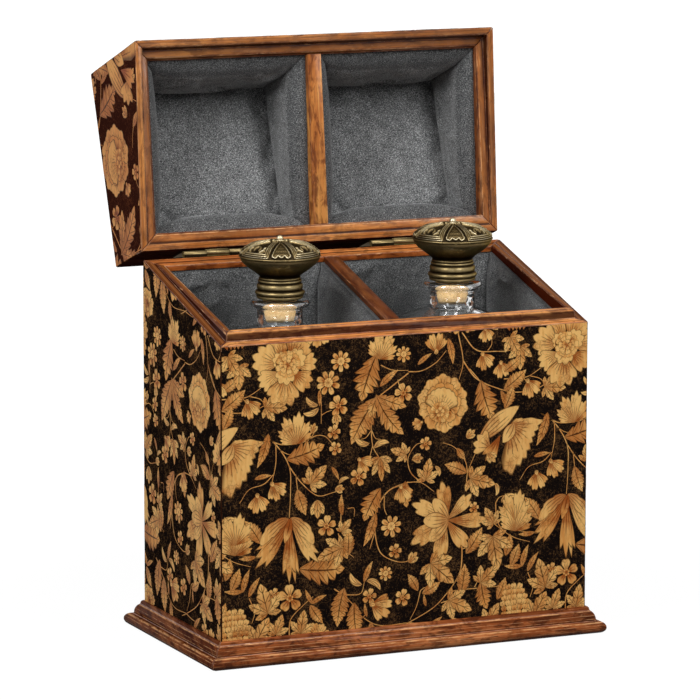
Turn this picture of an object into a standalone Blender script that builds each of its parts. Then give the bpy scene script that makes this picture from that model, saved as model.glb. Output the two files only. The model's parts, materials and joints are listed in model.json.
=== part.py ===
# Decanter case: a veneered box with a slanted mouth and a hinged, padded lid,
# holding two glass decanters with cork stoppers under brass caps.
#
# Metres, +Z up. The origin is the centre of the underside. +X is to the right
# of someone facing the front, +Y points to the hinges. The lid stands open.

import math

import bmesh
import bpy
from mathutils import Matrix, Vector

# Box
body_width = 0.2800
body_depth = 0.1434
plinth_height = 0.0184
front_height = 0.2050  # of the case, from the plinth's top to the mouth
mouth_rise = 0.0405  # how much higher the mouth is at the back
lid_height = 0.0939  # of the lid at the front
panel_thickness = 0.0090
base_thickness = 0.0120
gap = 0.0003  # between pieces that touch

# Base moulding
plinth_overhang = 0.0119
bullnose_height = 0.0082
ovolo_height = 0.0070
ovolo_reach = 0.0062
bead_radius = 0.0016
bead_fillet = 0.0006

# Rims of case and lid
rim_width = 0.0120
rim_thickness = 0.0040
ledge_width = 0.0064
lip_rise = 0.0063  # at the front; it runs out towards the hinges
lip_end_rise = 0.0004
lip_round = 0.0016
band_width = 0.0052
rabbet_clearance = 0.0005
cap_width = 0.0110
divider_thickness = 0.0070

# Linings
case_side_pad = 0.0080
case_end_pad = 0.0050  # at the front and the back
case_pad_crown = 0.0016
floor_pad_thickness = 0.0060
lid_side_pad = 0.0115
lid_end_pad = 0.0115
lid_pad_crown = 0.0030
hinge_pad_crown = 0.0060
top_pad_thickness = 0.0110
top_pad_crown = 0.0020
pad_segments = 6
# Along a side pad from its rim: how far, and how thick there.
case_rim_shares = ((0, 0.45), (0.04, 0.8), (0.1, 1), (0.4, 1), (0.7, 1), (0.85, 1), (1, 1))
lid_rim_shares = ((0, 0.3), (0.08, 0.75), (0.2, 0.95), (0.4, 1), (0.6, 1), (0.8, 1), (1, 1))

# Hinges
lid_angle = math.radians(109.7)
hinge_back = 0.0033  # axis behind the back face
hinge_rise = 0.0020  # axis above the back of the mouth
hinge_length = 0.0700
hinge_inset = 0.0319  # from a side face to the nearest hinge's end
knuckles = 4
barrel_radius = 0.00225
pin_radius = 0.0010
leaf_thickness = 0.0012
leaf_height = 0.0200

# Decanters
hands = ("left", "right")
decanter_shift = {"left": 0.00175, "right": 0.00075}  # from the compartment's middle
headroom = {"left": 0.0081, "right": 0.0029}  # from a stopper to the closed lid's pad
side_room = 0.0058  # from a decanter to the pads beside it
end_room = 0.0078  # and before and behind it
glass_wall = 0.0036
glass_floor = 0.0080
foot_round = 0.0030
neck_radius = 0.0160
neck_length = 0.0182
shoulder_height = 0.0300
shoulder_power = 1.8
shoulder_steps = 7
lip_ring_radius = 0.0210
lip_ring_half = 0.0022
bore_radius = 0.0124
glass_segments = 32
square_power = 7.0
round_power = 2.0

# Stoppers, measured upward from the lip ring's middle
cap_radius = 0.0288
cap_plane = 0.0339
dome_rise = 0.0109
boss_radius = 0.0024
boss_rise = 0.0030
cap_neck_radius = 0.0139
cap_neck_plane = 0.0187
flare_steps = 6
flare_power = 1.3
beads = {0.0178: (0.0147, 0.0008), 0.0159: (0.0154, 0.0010), 0.0119: (0.0162, 0.0024)}
beads.update({0.0077: (0.0175, 0.0015), 0.0048: (0.0165, 0.0012)})  # height: radius and half height
bead_depth = 0.0010
cork_radius = 0.0120
cork_depth = 0.0108
cork_taper = 0.0014
cork_chamfer = 0.0025
spigot_radius = 0.0035
spigot_length = 0.0080
turned_segments = 32
small_segments = 12

# Places that follow from the sizes
half_width = body_width / 2
half_depth = body_depth / 2
slope = mouth_rise / body_depth
mouth_front = plinth_height + front_height
mouth_back = mouth_front + mouth_rise
lid_top = mouth_front + lid_height
lid_rail_height = lip_rise + rabbet_clearance + rim_thickness
hinge_y = half_depth + hinge_back
hinge_z = mouth_back + hinge_rise
inner_x = half_width - panel_thickness
inner_y = half_depth - panel_thickness
wall_bottom = base_thickness + gap
floor_top = wall_bottom + floor_pad_thickness
lid_ceiling = lid_top - panel_thickness
shelf = lid_ceiling - gap
stopper_rise = cap_plane + dome_rise + boss_rise
stopper_limit = shelf - top_pad_thickness - top_pad_crown
lips = {hand: stopper_limit - headroom[hand] - stopper_rise for hand in hands}

for stale in list(bpy.data.objects):
    bpy.data.objects.remove(stale)


def collection(name):
    made = bpy.data.collections.new(name)
    bpy.context.scene.collection.children.link(made)
    return made


parts = collection("decanter_case")
cutters = collection("cutters")

looks = {
    # name: colour, roughness, metallic
    "marquetry": ((0.30, 0.17, 0.06), 0.35, 0.0),
    "mahogany": ((0.24, 0.08, 0.03), 0.30, 0.0),
    "dark_veneer": ((0.05, 0.02, 0.02), 0.35, 0.0),
    "felt": ((0.11, 0.12, 0.13), 0.95, 0.0),
    "brass": ((0.33, 0.26, 0.14), 0.40, 1.0),
    "glass": ((0.90, 0.94, 0.94), 0.03, 0.0),
    "cork": ((0.66, 0.45, 0.25), 0.85, 0.0),
}


def paint(piece, look):
    material = bpy.data.materials.get(look)
    if material is None:
        colour, roughness, metallic = looks[look]
        material = bpy.data.materials.new(look)
        material.use_nodes = True
        shader = material.node_tree.nodes["Principled BSDF"]
        shader.inputs["Base Color"].default_value = (*colour, 1)
        shader.inputs["Roughness"].default_value = roughness
        shader.inputs["Metallic"].default_value = metallic
    piece.data.materials.clear()
    piece.data.materials.append(material)


def empty(name, place):
    made = bpy.data.objects.new(name, None)
    parts.objects.link(made)
    made.location = place
    return made


lid_axis = empty("lid_axis", (0, hinge_y, hinge_z))
lid_axis.rotation_euler.x = -lid_angle


# Stock and cuts. Pieces are made where they lie with the lid closed.


def weld(mesh):
    bm = bmesh.new()
    bm.from_mesh(mesh)
    bmesh.ops.remove_doubles(bm, verts=bm.verts, dist=gap / 30)
    bmesh.ops.recalc_face_normals(bm, faces=bm.faces)
    bm.to_mesh(mesh)
    bm.free()


def bar(name, outline, start, end, along):
    # A length of stock: an outline across one axis, extruded along that axis.
    curve = bpy.data.curves.new(name, "CURVE")
    curve.dimensions = "2D"
    curve.fill_mode = "BOTH"
    curve.extrude = (end - start) / 2
    spline = curve.splines.new("POLY")
    spline.points.add(len(outline) - 1)
    for point, (across, up) in zip(spline.points, outline):
        point.co = (across, up, 0, 1)
    spline.use_cyclic_u = True
    flat = bpy.data.objects.new(name, curve)
    parts.objects.link(flat)
    seen = flat.evaluated_get(bpy.context.evaluated_depsgraph_get())
    mesh = bpy.data.meshes.new_from_object(seen)
    bpy.data.objects.remove(flat)
    middle = (start + end) / 2
    turns = {
        "X": Matrix(((0, 0, 1, middle), (1, 0, 0, 0), (0, 1, 0, 0), (0, 0, 0, 1))),
        "Y": Matrix(((1, 0, 0, 0), (0, 0, -1, middle), (0, 1, 0, 0), (0, 0, 0, 1))),
        "Z": Matrix.Translation((0, 0, middle)),
    }
    mesh.transform(turns[along])
    weld(mesh)
    mesh.name = name
    piece = bpy.data.objects.new(name, mesh)
    parts.objects.link(piece)
    return piece


def rectangle(left, right, bottom, top):
    return [(left, bottom), (right, bottom), (right, top), (left, top)]


def arc(centre, reach, rise, start, end, steps):
    # Points on a quarter or half ellipse, angles in degrees from +X.
    points = []
    for step in range(steps + 1):
        angle = math.radians(start + (end - start) * step / steps)
        points.append((centre[0] + reach * math.cos(angle), centre[1] + rise * math.sin(angle)))
    return points


def saw(piece, point, away):
    # Cuts flat through a piece and drops the side that "away" points to.
    bm = bmesh.new()
    bm.from_mesh(piece.data)
    whole = bm.verts[:] + bm.edges[:] + bm.faces[:]
    bmesh.ops.bisect_plane(bm, geom=whole, plane_co=point, plane_no=away, clear_outer=True)
    opened = [edge for edge in bm.edges if edge.is_boundary]
    bmesh.ops.holes_fill(bm, edges=opened, sides=0)
    bmesh.ops.recalc_face_normals(bm, faces=bm.faces)
    bm.to_mesh(piece.data)
    bm.free()


sides = {"front": (0, -1), "back": (0, 1), "left": (-1, 0), "right": (1, 0)}


def mitre(piece, side, width=half_width, depth=half_depth):
    # Saws both ends of a side at 45 degrees, half a gap short of the corners.
    out = Vector(sides[side])
    for neighbour in sides.values():
        other = Vector(neighbour)
        if out.dot(other) != 0:
            continue
        away = (other - out).normalized().to_3d()
        corner = Vector(((out.x + other.x) * width, (out.y + other.y) * depth, 0))
        saw(piece, corner - away * gap / 2, away)


def frame_side(name, side, section):
    # One mitred side of a level frame. The section's points are distances
    # inward from the box's face and heights above the frame's own plane.
    out_x, out_y = sides[side]
    if out_x:
        outline = [(out_x * (half_width - inward), up) for inward, up in section]
        piece = bar(name, outline, -half_depth - rim_width, half_depth + rim_width, "Y")
    else:
        outline = [(out_y * (half_depth - inward), up) for inward, up in section]
        piece = bar(name, outline, -half_width - rim_width, half_width + rim_width, "X")
    mitre(piece, side)
    return piece


def mouth(y, rise=0):
    # The height of the slanted mouth at a depth, or of a plane above it.
    return mouth_front + slope * (y + half_depth) + rise


def lean(piece, rise=0):
    # Shears a level piece up to the slanted mouth.
    for vertex in piece.data.vertices:
        vertex.co.z += mouth(vertex.co.y, rise)


def run_out(piece, low, high):
    # Lowers what stands between two heights, from full at the front to
    # almost nothing at the hinges.
    start = ledge_width - half_depth
    end = half_depth - ledge_width
    for vertex in piece.data.vertices:
        if low + gap / 3 < vertex.co.z < high + gap / 3:
            way = (vertex.co.y - start) / (end - start)
            left = 1 - way * (1 - lip_end_rise / lip_rise)
            vertex.co.z = low + (vertex.co.z - low) * left


def settle(piece, look, parent=None, origin=None):
    # Paints a piece, gives it its own origin and hangs it on its parent.
    corners = [Vector(corner) for corner in piece.bound_box]
    middle = sum(corners, Vector()) / len(corners)
    place = Vector(origin) if origin else middle
    base = parent.matrix_basis.translation if parent else Vector()
    piece.data.transform(Matrix.Translation(-place))
    piece.parent = parent
    piece.location = place - base
    paint(piece, look)
    return piece


def turned(name, profile, segments):
    # A turned solid: a profile of radius and height, top to bottom, with both
    # ends on the axis.
    mesh = bpy.data.meshes.new(name)
    points = [(radius, 0, height) for radius, height in profile]
    edges = [(index, index + 1) for index in range(len(points) - 1)]
    mesh.from_pydata(points, edges, [])
    piece = bpy.data.objects.new(name, mesh)
    parts.objects.link(piece)
    spin = piece.modifiers.new("turn", "SCREW")
    spin.axis = "Z"
    spin.steps = segments
    spin.render_steps = segments
    spin.use_merge_vertices = True
    spin.merge_threshold = gap / 30
    spin.use_smooth_shade = True
    return piece


def meshed(piece):
    # Turns a piece's modifiers into its mesh.
    seen = piece.evaluated_get(bpy.context.evaluated_depsgraph_get())
    mesh = bpy.data.meshes.new_from_object(seen)
    piece.modifiers.clear()
    piece.data = mesh
    weld(mesh)
    return piece


def cut(piece, tool, operation="DIFFERENCE"):
    parts.objects.unlink(tool)
    cutters.objects.link(tool)
    tool.hide_render = True
    tool.display_type = "WIRE"
    change = piece.modifiers.new(tool.name, "BOOLEAN")
    change.operation = operation
    change.solver = "EXACT"
    change.object = tool


# Case


def reach(side):
    # How far a panel reaches in depth.
    out_y = sides[side][1]
    if out_y:
        return sorted((out_y * half_depth, out_y * inner_y))
    return -half_depth, half_depth


def panel(name, side, outline):
    out_x = sides[side][0]
    start, end = sorted((out_x * half_width, out_x * inner_x)) if out_x else (-half_width, half_width)
    piece = bar(name, outline, start, end, "X")
    mitre(piece, side)
    return piece


base = bar(
    "base_board",
    rectangle(-half_width, half_width, -half_depth, half_depth),
    0,
    base_thickness,
    "Z",
)
settle(base, "dark_veneer")

panel_looks = {"front": "marquetry", "left": "marquetry", "right": "marquetry", "back": "dark_veneer"}
rail_foot = -rim_thickness - gap
for side, look in panel_looks.items():
    low, high = reach(side)
    outline = [(low, wall_bottom), (high, wall_bottom)]
    outline += [(high, mouth(high, rail_foot)), (low, mouth(low, rail_foot))]
    settle(panel(f"case_{side}_panel", side, outline), look)

bullnose_radius = bullnose_height / 2
bullnose_middle = plinth_overhang - bullnose_radius
bead_middle = plinth_height - bead_radius
bead_start = gap + bead_fillet
ovolo_bottom = bullnose_height + bead_fillet
plinth_section = [(-gap, 0)]
plinth_section += [
    (-out, up)
    for out, up in arc((bullnose_middle, bullnose_radius), bullnose_radius, bullnose_radius, -90, 90, 10)
]
plinth_section += [(-ovolo_reach, bullnose_height), (-ovolo_reach, ovolo_bottom)]
plinth_section += [
    (-out, up)
    for out, up in arc((bead_radius, ovolo_bottom), ovolo_reach - bead_radius, ovolo_height, 0, 75, 5)
][1:]
plinth_section += [
    (-out, up) for out, up in arc((bead_start, bead_middle), bead_radius, bead_radius, 0, 90, 3)
]
plinth_section += [(-gap, plinth_height)]
for side in sides:
    moulding = frame_side(f"plinth_{side}", side, plinth_section)
    settle(moulding, "mahogany")

flat_section = rectangle(0, rim_width, -rim_thickness, 0)
lip_section = [(0, -rim_thickness), (rim_width, -rim_thickness), (rim_width, lip_rise - lip_round / 2)]
lip_section += [(rim_width - lip_round / 2, lip_rise), (ledge_width + lip_round, lip_rise)]
lip_section += [(ledge_width + lip_round / 3, lip_rise - lip_round), (ledge_width, 0), (0, 0)]
for side in sides:
    section = flat_section if side == "back" else lip_section
    rail = frame_side(f"case_rim_{side}", side, section)
    if side != "back":
        run_out(rail, 0, lip_rise)
    lean(rail)
    settle(rail, "mahogany")

rim_inner_y = half_depth - rim_width - gap
cap = bar(
    "case_divider_cap",
    rectangle(-cap_width / 2, cap_width / 2, -rim_thickness, 0),
    -rim_inner_y,
    rim_inner_y,
    "Y",
)
lean(cap)
settle(cap, "mahogany")


end = inner_y - gap
board = bar(
    "case_divider",
    [(-end, wall_bottom), (end, wall_bottom), (end, mouth(end, rail_foot)), (-end, mouth(-end, rail_foot))],
    -divider_thickness / 2,
    divider_thickness / 2,
    "X",
)
settle(board, "mahogany")

# Lid

lid_level = gap  # of the lid's rim above the case's
rail_head = lid_level + lid_rail_height + gap
for side, look in panel_looks.items():
    low, high = reach(side)
    outline = [(low, mouth(low, rail_head)), (high, mouth(high, rail_head)), (high, lid_top), (low, lid_top)]
    settle(panel(f"lid_{side}_panel", side, outline), look, lid_axis)

top = bar(
    "lid_top_panel",
    rectangle(gap - inner_x, inner_x - gap, gap - inner_y, inner_y - gap),
    lid_top - panel_thickness,
    lid_top,
    "Z",
)
settle(top, "marquetry", lid_axis)

rabbet = rabbet_clearance + lip_rise
band_section = [(0, 0), (band_width, 0), (band_width, rabbet), (rim_width - lip_round, rabbet)]
band_section += [(rim_width, rabbet + lip_round), (rim_width, lid_rail_height), (0, lid_rail_height)]
for side in sides:
    if side == "back":
        section = rectangle(0, rim_width, 0, lid_rail_height)
    else:
        section = band_section
    rail = frame_side(f"lid_rim_{side}", side, section)
    if side != "back":
        run_out(rail, rabbet_clearance, rabbet + lip_round)
    lean(rail, lid_level)
    settle(rail, "mahogany", lid_axis)

cap = bar(
    "lid_divider_cap",
    rectangle(-cap_width / 2, cap_width / 2, rabbet, lid_rail_height),
    -rim_inner_y,
    rim_inner_y,
    "Y",
)
run_out(cap, rabbet_clearance, rabbet)
lean(cap, lid_level)
settle(cap, "mahogany", lid_axis)

board = bar(
    "lid_divider",
    [(-end, mouth(-end, rail_head)), (end, mouth(end, rail_head)), (end, shelf), (-end, shelf)],
    -divider_thickness / 2,
    divider_thickness / 2,
    "X",
)
settle(board, "mahogany", lid_axis)

# Linings


def cushion(name, place):
    # A pad: a grid of points on its wall and the same grid on its face, where
    # "place" gives a point for two steps and says whether it is on the face.
    bm = bmesh.new()
    bmesh.ops.create_grid(bm, x_segments=pad_segments, y_segments=pad_segments, size=1)
    back = bm.verts[:]
    grown = bmesh.ops.extrude_face_region(bm, geom=bm.faces[:])
    front = [item for item in grown["geom"] if isinstance(item, bmesh.types.BMVert)]
    for row, raised in ((back, False), (front, True)):
        for vertex in row:
            across = round((vertex.co.x + 1) / 2 * pad_segments)
            up = round((vertex.co.y + 1) / 2 * pad_segments)
            vertex.co = place(across, up, raised)
    bmesh.ops.recalc_face_normals(bm, faces=bm.faces)
    mesh = bpy.data.meshes.new(name)
    bm.to_mesh(mesh)
    bm.free()
    piece = bpy.data.objects.new(name, mesh)
    parts.objects.link(piece)
    return piece


def swell(share):
    # From nothing at a pad's edges to all of its crown in the middle.
    return 1 - (2 * min(max(share, 0), 1) - 1) ** 4


def compartment(hand):
    near = divider_thickness / 2 + gap
    far = inner_x - gap
    left, right = (near, far) if hand == "right" else (-far, -near)
    return left, right, gap - inner_y, inner_y - gap


def wall_pad(name, hand, side, rim, end, thick, crown, rim_shares, parent):
    # One wall's pad, mitred to its neighbours. "rim" and "end" give the heights
    # of its two ends at a depth y, and "thick" its thickness along x and y.
    left, right, front, back = compartment(hand)
    out = Vector(sides[side])
    edge = {"front": front, "back": back, "left": left, "right": right}[side]
    middle = (left + right) / 2

    def place(across, up, raised):
        way, thickness_share = rim_shares[up]
        share = across / pad_segments
        depth = Vector(thick) * thickness_share if raised else Vector((0, 0))
        # The clearance of a mitre between two pads.
        spare = gap / 2
        if out.x:
            x = edge - out.x * depth.x
            y = front + depth.y + spare + share * (back - front - 2 * (depth.y + spare))
        else:
            y = edge - out.y * depth.y
            x = left + depth.x + spare + share * (right - left - 2 * (depth.x + spare))
        if raised:
            rise = crown * swell(share) * swell(way)
            x -= out.x * rise
            y -= out.y * rise
        return Vector((x, y, rim(y) + (end(y) - rim(y)) * way))

    settle(cushion(name, place), "felt", parent)


def flat_pad(name, hand, bottom, thick, crown, border, parent):
    # A pad on a compartment's floor, or under its ceiling where "thick" is
    # negative. It is flat along its border, where the side pads end.
    left, right, front, back = compartment(hand)

    def along(low, high, step):
        if step in (0, pad_segments):
            return low if step == 0 else high
        share = (step - 1) / (pad_segments - 2)
        return low + border + (high - low - 2 * border) * share

    def place(across, up, raised):
        rise = 0
        if raised:
            inner = [(step - 1) / (pad_segments - 2) for step in (across, up)]
            rise = thick + crown * swell(inner[0]) * swell(inner[1])
        return Vector((along(left, right, across), along(front, back, up), bottom + rise))

    settle(cushion(name, place), "felt", parent)


def level_at(height):
    return lambda y: height


def leaning(rise):
    return lambda y: mouth(y, rise)


for hand in hands:
    flat_pad(f"case_pad_floor_{hand}", hand, wall_bottom, floor_pad_thickness, 0, case_side_pad, None)
    for side in sides:
        wall_pad(
            f"case_pad_{side}_{hand}",
            hand,
            side,
            leaning(rail_foot),
            level_at(floor_top + gap),
            (case_side_pad, case_end_pad),
            case_pad_crown,
            case_rim_shares,
            None,
        )
        wall_pad(
            f"lid_pad_{side}_{hand}",
            hand,
            side,
            leaning(rail_head),
            level_at(shelf - top_pad_thickness - gap),
            (lid_side_pad, lid_end_pad),
            hinge_pad_crown if side == "back" else lid_pad_crown,
            lid_rim_shares,
            lid_axis,
        )
    flat_pad(
        f"lid_pad_top_{hand}",
        hand,
        shelf,
        -top_pad_thickness,
        -top_pad_crown,
        lid_side_pad + gap,
        lid_axis,
    )

# Hinges

leaf_inner = half_depth + gap
leaf_outer = leaf_inner + leaf_thickness
knuckle_length = hinge_length / knuckles
bore = pin_radius + gap


def leaf(name, start, up, parent):
    # A leaf with its plate, every other knuckle, pin bore and screw holes.
    way = 1 if up else -1
    foot = barrel_radius + gap
    plate = bar(
        name,
        rectangle(leaf_inner, leaf_outer, *sorted((hinge_z + way * foot, hinge_z + way * leaf_height))),
        start,
        start + hinge_length,
        "X",
    )
    meet = math.degrees(math.acos((hinge_y - leaf_outer) / barrel_radius))
    barrel = arc((hinge_y, hinge_z), barrel_radius, barrel_radius, 180 + meet, 540, 18)
    tab = [(leaf_inner, hinge_z), (leaf_inner, hinge_z - foot - gap), (leaf_outer, hinge_z - foot - gap)]
    outline = tab + barrel
    if up:
        outline = [(y, 2 * hinge_z - z) for y, z in outline]
    first = 1 if up else 0
    for index in range(first, knuckles, 2):
        begin = start + index * knuckle_length + gap / 2
        finish = start + (index + 1) * knuckle_length - gap / 2
        knuckle = bar(f"{name}_knuckle_{index}", outline, begin, finish, "X")
        cut(plate, knuckle, "UNION")
    ring = arc((hinge_y, hinge_z), bore, bore, 0, 360, small_segments)[:-1]
    hole = bar(f"{name}_bore", ring, start - gap, start + hinge_length + gap, "X")
    cut(plate, hole)
    meshed(plate)
    return settle(plate, "brass", parent)


hinge_starts = {"left": hinge_inset - half_width, "right": half_width - hinge_inset - hinge_length}
for hand, start in hinge_starts.items():
    leaf(f"hinge_case_leaf_{hand}", start, False, None)
    leaf(f"hinge_lid_leaf_{hand}", start, True, lid_axis)
    ring = arc((hinge_y, hinge_z), pin_radius, pin_radius, 0, 360, small_segments)[:-1]
    pin = bar(f"hinge_pin_{hand}", ring, start, start + hinge_length, "X")
    settle(pin, "brass")

# Decanters


def glass_ring(bm, half_x, half_y, height, power):
    # A closed row of points: round at power 2, a soft oblong at a high power.
    ring = []
    for step in range(glass_segments):
        angle = 2 * math.pi * step / glass_segments
        across, along = math.cos(angle), math.sin(angle)
        reach = (abs(across) ** power + abs(along) ** power) ** (-1 / power)
        ring.append(bm.verts.new((half_x * reach * across, half_y * reach * along, height)))
    return ring


def shoulder_rows(body, neck, bottom, rise):
    # From a square body in to a round neck.
    rows = []
    for step in range(shoulder_steps + 1):
        share = step / shoulder_steps
        angle = math.pi * share / 2
        left = math.cos(angle) ** shoulder_power
        power = square_power + (round_power - square_power) * share
        halves = [neck + (half - neck) * left for half in body]
        rows.append((*halves, bottom + rise * math.sin(angle), power))
    return rows


def decanter(hand):
    left, right, front, back = compartment(hand)
    side_pads = case_side_pad + case_pad_crown + side_room
    end_pads = case_end_pad + case_pad_crown + end_room
    body = ((right - left) / 2 - side_pads, (back - front) / 2 - end_pads)
    hollow = [half - glass_wall for half in body]
    stand = floor_top + gap
    lip = lips[hand] - stand
    top = lip + lip_ring_half
    shoulder = top - neck_length - shoulder_height
    mouth_round = lip_ring_half / 2

    def inset(halves, by):
        return [half - by for half in halves]

    # The outside from the foot to the lip, then the inside down to the floor.
    rows = [(*inset(body, foot_round), 0, square_power)]
    rows.append((*inset(body, foot_round / 3), foot_round / 3, square_power))
    rows.append((*body, foot_round, square_power))
    rows += shoulder_rows(body, neck_radius, shoulder, shoulder_height)
    ring_centre = lip_ring_radius - lip_ring_half
    for radius, height in arc((ring_centre, lip), lip_ring_half, lip_ring_half, -90, 90, 6):
        rows.append((radius, radius, height, round_power))
    rows.append((bore_radius + mouth_round, bore_radius + mouth_round, top, round_power))
    rows.append((bore_radius, bore_radius, top - mouth_round, round_power))
    rows += reversed(shoulder_rows(hollow, bore_radius, shoulder - glass_wall, shoulder_height))
    rows.append((*hollow, glass_floor + foot_round, square_power))
    rows.append((*inset(hollow, foot_round), glass_floor, square_power))
    bm = bmesh.new()
    rings = [glass_ring(bm, *row) for row in rows]
    for lower, upper in zip(rings, rings[1:]):
        for step in range(glass_segments):
            after = (step + 1) % glass_segments
            bm.faces.new((lower[step], lower[after], upper[after], upper[step]))
    bm.faces.new(rings[0])
    bm.faces.new(rings[-1])
    bmesh.ops.recalc_face_normals(bm, faces=bm.faces)
    mesh = bpy.data.meshes.new(f"decanter_{hand}")
    bm.to_mesh(mesh)
    bm.free()
    mesh.shade_smooth()
    piece = bpy.data.objects.new(f"decanter_{hand}", mesh)
    parts.objects.link(piece)
    piece.location = ((left + right) / 2 + decanter_shift[hand], 0, stand)
    paint(piece, "glass")
    return piece


# Stoppers


def cap_profile():
    # Boss, dome, hollow flare, neck, beads and the spigot in the cork.
    dome_top = cap_plane + dome_rise
    profile = [(0, dome_top + boss_rise)]
    profile += arc((0, dome_top + boss_rise - boss_radius), boss_radius, boss_radius, 60, -20, 3)
    profile += arc((0, cap_plane), cap_radius, dome_rise, 80, 0, 8)
    for step in range(1, flare_steps + 1):
        angle = math.pi * step / flare_steps / 2
        width = cap_neck_radius + (cap_radius - cap_neck_radius) * math.cos(angle) ** flare_power
        profile.append((width, cap_plane - (cap_plane - cap_neck_plane) * step / flare_steps))
    for height in sorted(beads, reverse=True):
        radius, half = beads[height]
        profile += arc((radius - bead_depth, height), bead_depth, half, 90, -90, 4)
    foot = lip_ring_half + gap
    profile.append((spigot_radius, foot))
    profile.append((spigot_radius, foot - spigot_length))
    profile.append((0, foot - spigot_length))
    return profile


def cork_profile():
    # A taper with a chamfered foot and a hole for the cap's spigot.
    hole = spigot_radius + gap
    floor = lip_ring_half - spigot_length
    return [
        (0, floor),
        (hole, floor),
        (hole, lip_ring_half),
        (cork_radius, lip_ring_half),
        (cork_radius - cork_taper, cork_chamfer - cork_depth),
        (cork_radius - cork_chamfer, -cork_depth),
        (0, -cork_depth),
    ]


for hand in hands:
    bottle = decanter(hand)
    cap = turned(f"stopper_cap_{hand}", cap_profile(), turned_segments)
    cap.parent = bottle
    cap.location.z = lips[hand] - bottle.location.z
    paint(cap, "brass")
    cork = turned(f"cork_{hand}", cork_profile(), turned_segments)
    cork.parent = cap
    paint(cork, "cork")
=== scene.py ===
# A marquetry decanter case, open, with two corked glass decanters in felt-lined compartments.
import json
import math

import bmesh
import bpy
import numpy as np
from mathutils import Matrix, Vector
from mathutils.bvhtree import BVHTree

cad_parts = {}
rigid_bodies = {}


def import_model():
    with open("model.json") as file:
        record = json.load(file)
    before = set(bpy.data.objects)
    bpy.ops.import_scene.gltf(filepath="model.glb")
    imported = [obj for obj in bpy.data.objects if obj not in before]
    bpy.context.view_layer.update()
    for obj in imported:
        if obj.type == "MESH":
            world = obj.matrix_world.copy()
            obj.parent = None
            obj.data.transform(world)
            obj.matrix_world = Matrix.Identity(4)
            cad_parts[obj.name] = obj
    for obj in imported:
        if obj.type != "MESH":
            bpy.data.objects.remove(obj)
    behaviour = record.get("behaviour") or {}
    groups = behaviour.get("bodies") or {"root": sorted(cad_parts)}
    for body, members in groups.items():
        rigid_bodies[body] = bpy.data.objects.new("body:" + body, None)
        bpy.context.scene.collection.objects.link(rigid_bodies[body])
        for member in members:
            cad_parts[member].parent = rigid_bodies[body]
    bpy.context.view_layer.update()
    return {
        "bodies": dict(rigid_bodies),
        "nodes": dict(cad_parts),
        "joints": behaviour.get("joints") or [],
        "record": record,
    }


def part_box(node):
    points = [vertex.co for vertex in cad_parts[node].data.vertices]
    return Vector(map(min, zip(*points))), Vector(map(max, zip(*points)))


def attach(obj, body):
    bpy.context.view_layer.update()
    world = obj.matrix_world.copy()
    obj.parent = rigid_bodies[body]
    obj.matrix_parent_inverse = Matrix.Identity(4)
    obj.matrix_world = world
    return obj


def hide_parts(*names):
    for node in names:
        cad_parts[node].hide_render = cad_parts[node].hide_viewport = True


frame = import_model()
scene = bpy.context.scene
hands = ("left", "right")
nodeBody = {node: body for body, nodes in frame["record"]["behaviour"]["bodies"].items() for node in nodes}
print("frame loaded:", len(nodeBody), "solids")

# Sizes of the solids that the looks need, in metres
caseSize = {
    "halfWide": 0.1400,
    "halfDeep": 0.0717,
    "inlayFoot": 0.0150,  # where the marquetry starts, behind the plinth
    "mouthFront": 0.2234,  # the height of the case's front edge
    "slope": 0.28243,  # of the mouth, from front to back
    "top": 0.3173,  # of the shut lid
    "gap": 0.0003,  # under the shut lid
}


def linked(name, data):
    piece = bpy.data.objects.new(name, data)
    scene.collection.objects.link(piece)
    return piece


def meshOf(bm, name):
    # The finished mesh. The working one goes.
    mesh = bpy.data.meshes.new(name)
    bm.to_mesh(mesh)
    bm.free()
    return mesh


def treeNode(tree, kind, settings=None, sockets=None):
    made = tree.nodes.new(kind)
    for key, value in (settings or {}).items():
        setattr(made, key, value)
    for key, value in (sockets or {}).items():
        if isinstance(value, bpy.types.NodeSocket):
            tree.links.new(value, made.inputs[key])
        else:
            made.inputs[key].default_value = value
    return made


# Camera and light

photoView = {
    "unit": 0.280,  # the case's width, in which the camera's place is given
    "azimuth": -24.16,
    "elevation": 9.264,
    "roll": 0.1325,
    "distance": 11.4767,
    "side": -0.0363,
    "rise": 0.6449,
    "foot": 0.0184,  # the height of the plinth's top
    "lens": 231.55,
    "sensor": 36.0,
    "far": 50,
}


def wayTo(azimuth, elevation):
    level = math.cos(elevation)
    return Vector((math.sin(azimuth) * level, -math.cos(azimuth) * level, math.sin(elevation)))


def placeCamera(view):
    azimuth, elevation, roll = (math.radians(view[key]) for key in ("azimuth", "elevation", "roll"))
    back = wayTo(azimuth, elevation)
    level = Vector((math.cos(azimuth), math.sin(azimuth), 0))
    upright = back.cross(level)
    right = level * math.cos(roll) + upright * math.sin(roll)
    top = upright * math.cos(roll) - level * math.sin(roll)
    camera = linked("camera", bpy.data.cameras.new("camera"))
    camera.data.lens = view["lens"]
    camera.data.sensor_width = view["sensor"]
    camera.data.clip_end = view["far"]
    place = (right * view["side"] + top * view["rise"] + back * view["distance"]) * view["unit"]
    facing = Matrix((right, top, back)).transposed().to_4x4()
    camera.matrix_world = Matrix.Translation(place + Vector((0, 0, view["foot"]))) @ facing
    scene.camera = camera


placeCamera(photoView)

lightAim = Vector((0, 0, 0.20))
softBoxes = {
    # name: (azimuth, elevation, distance, width, height, watts)
    "right_box": (22, 43, 1.7, 0.42, 1.1, 15.0),
    "left_box": (-64, 38, 1.7, 0.36, 1.1, 17.0),
    "overhead_box": (-20, 72, 1.6, 1.0, 0.7, 5.0),
}


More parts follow.
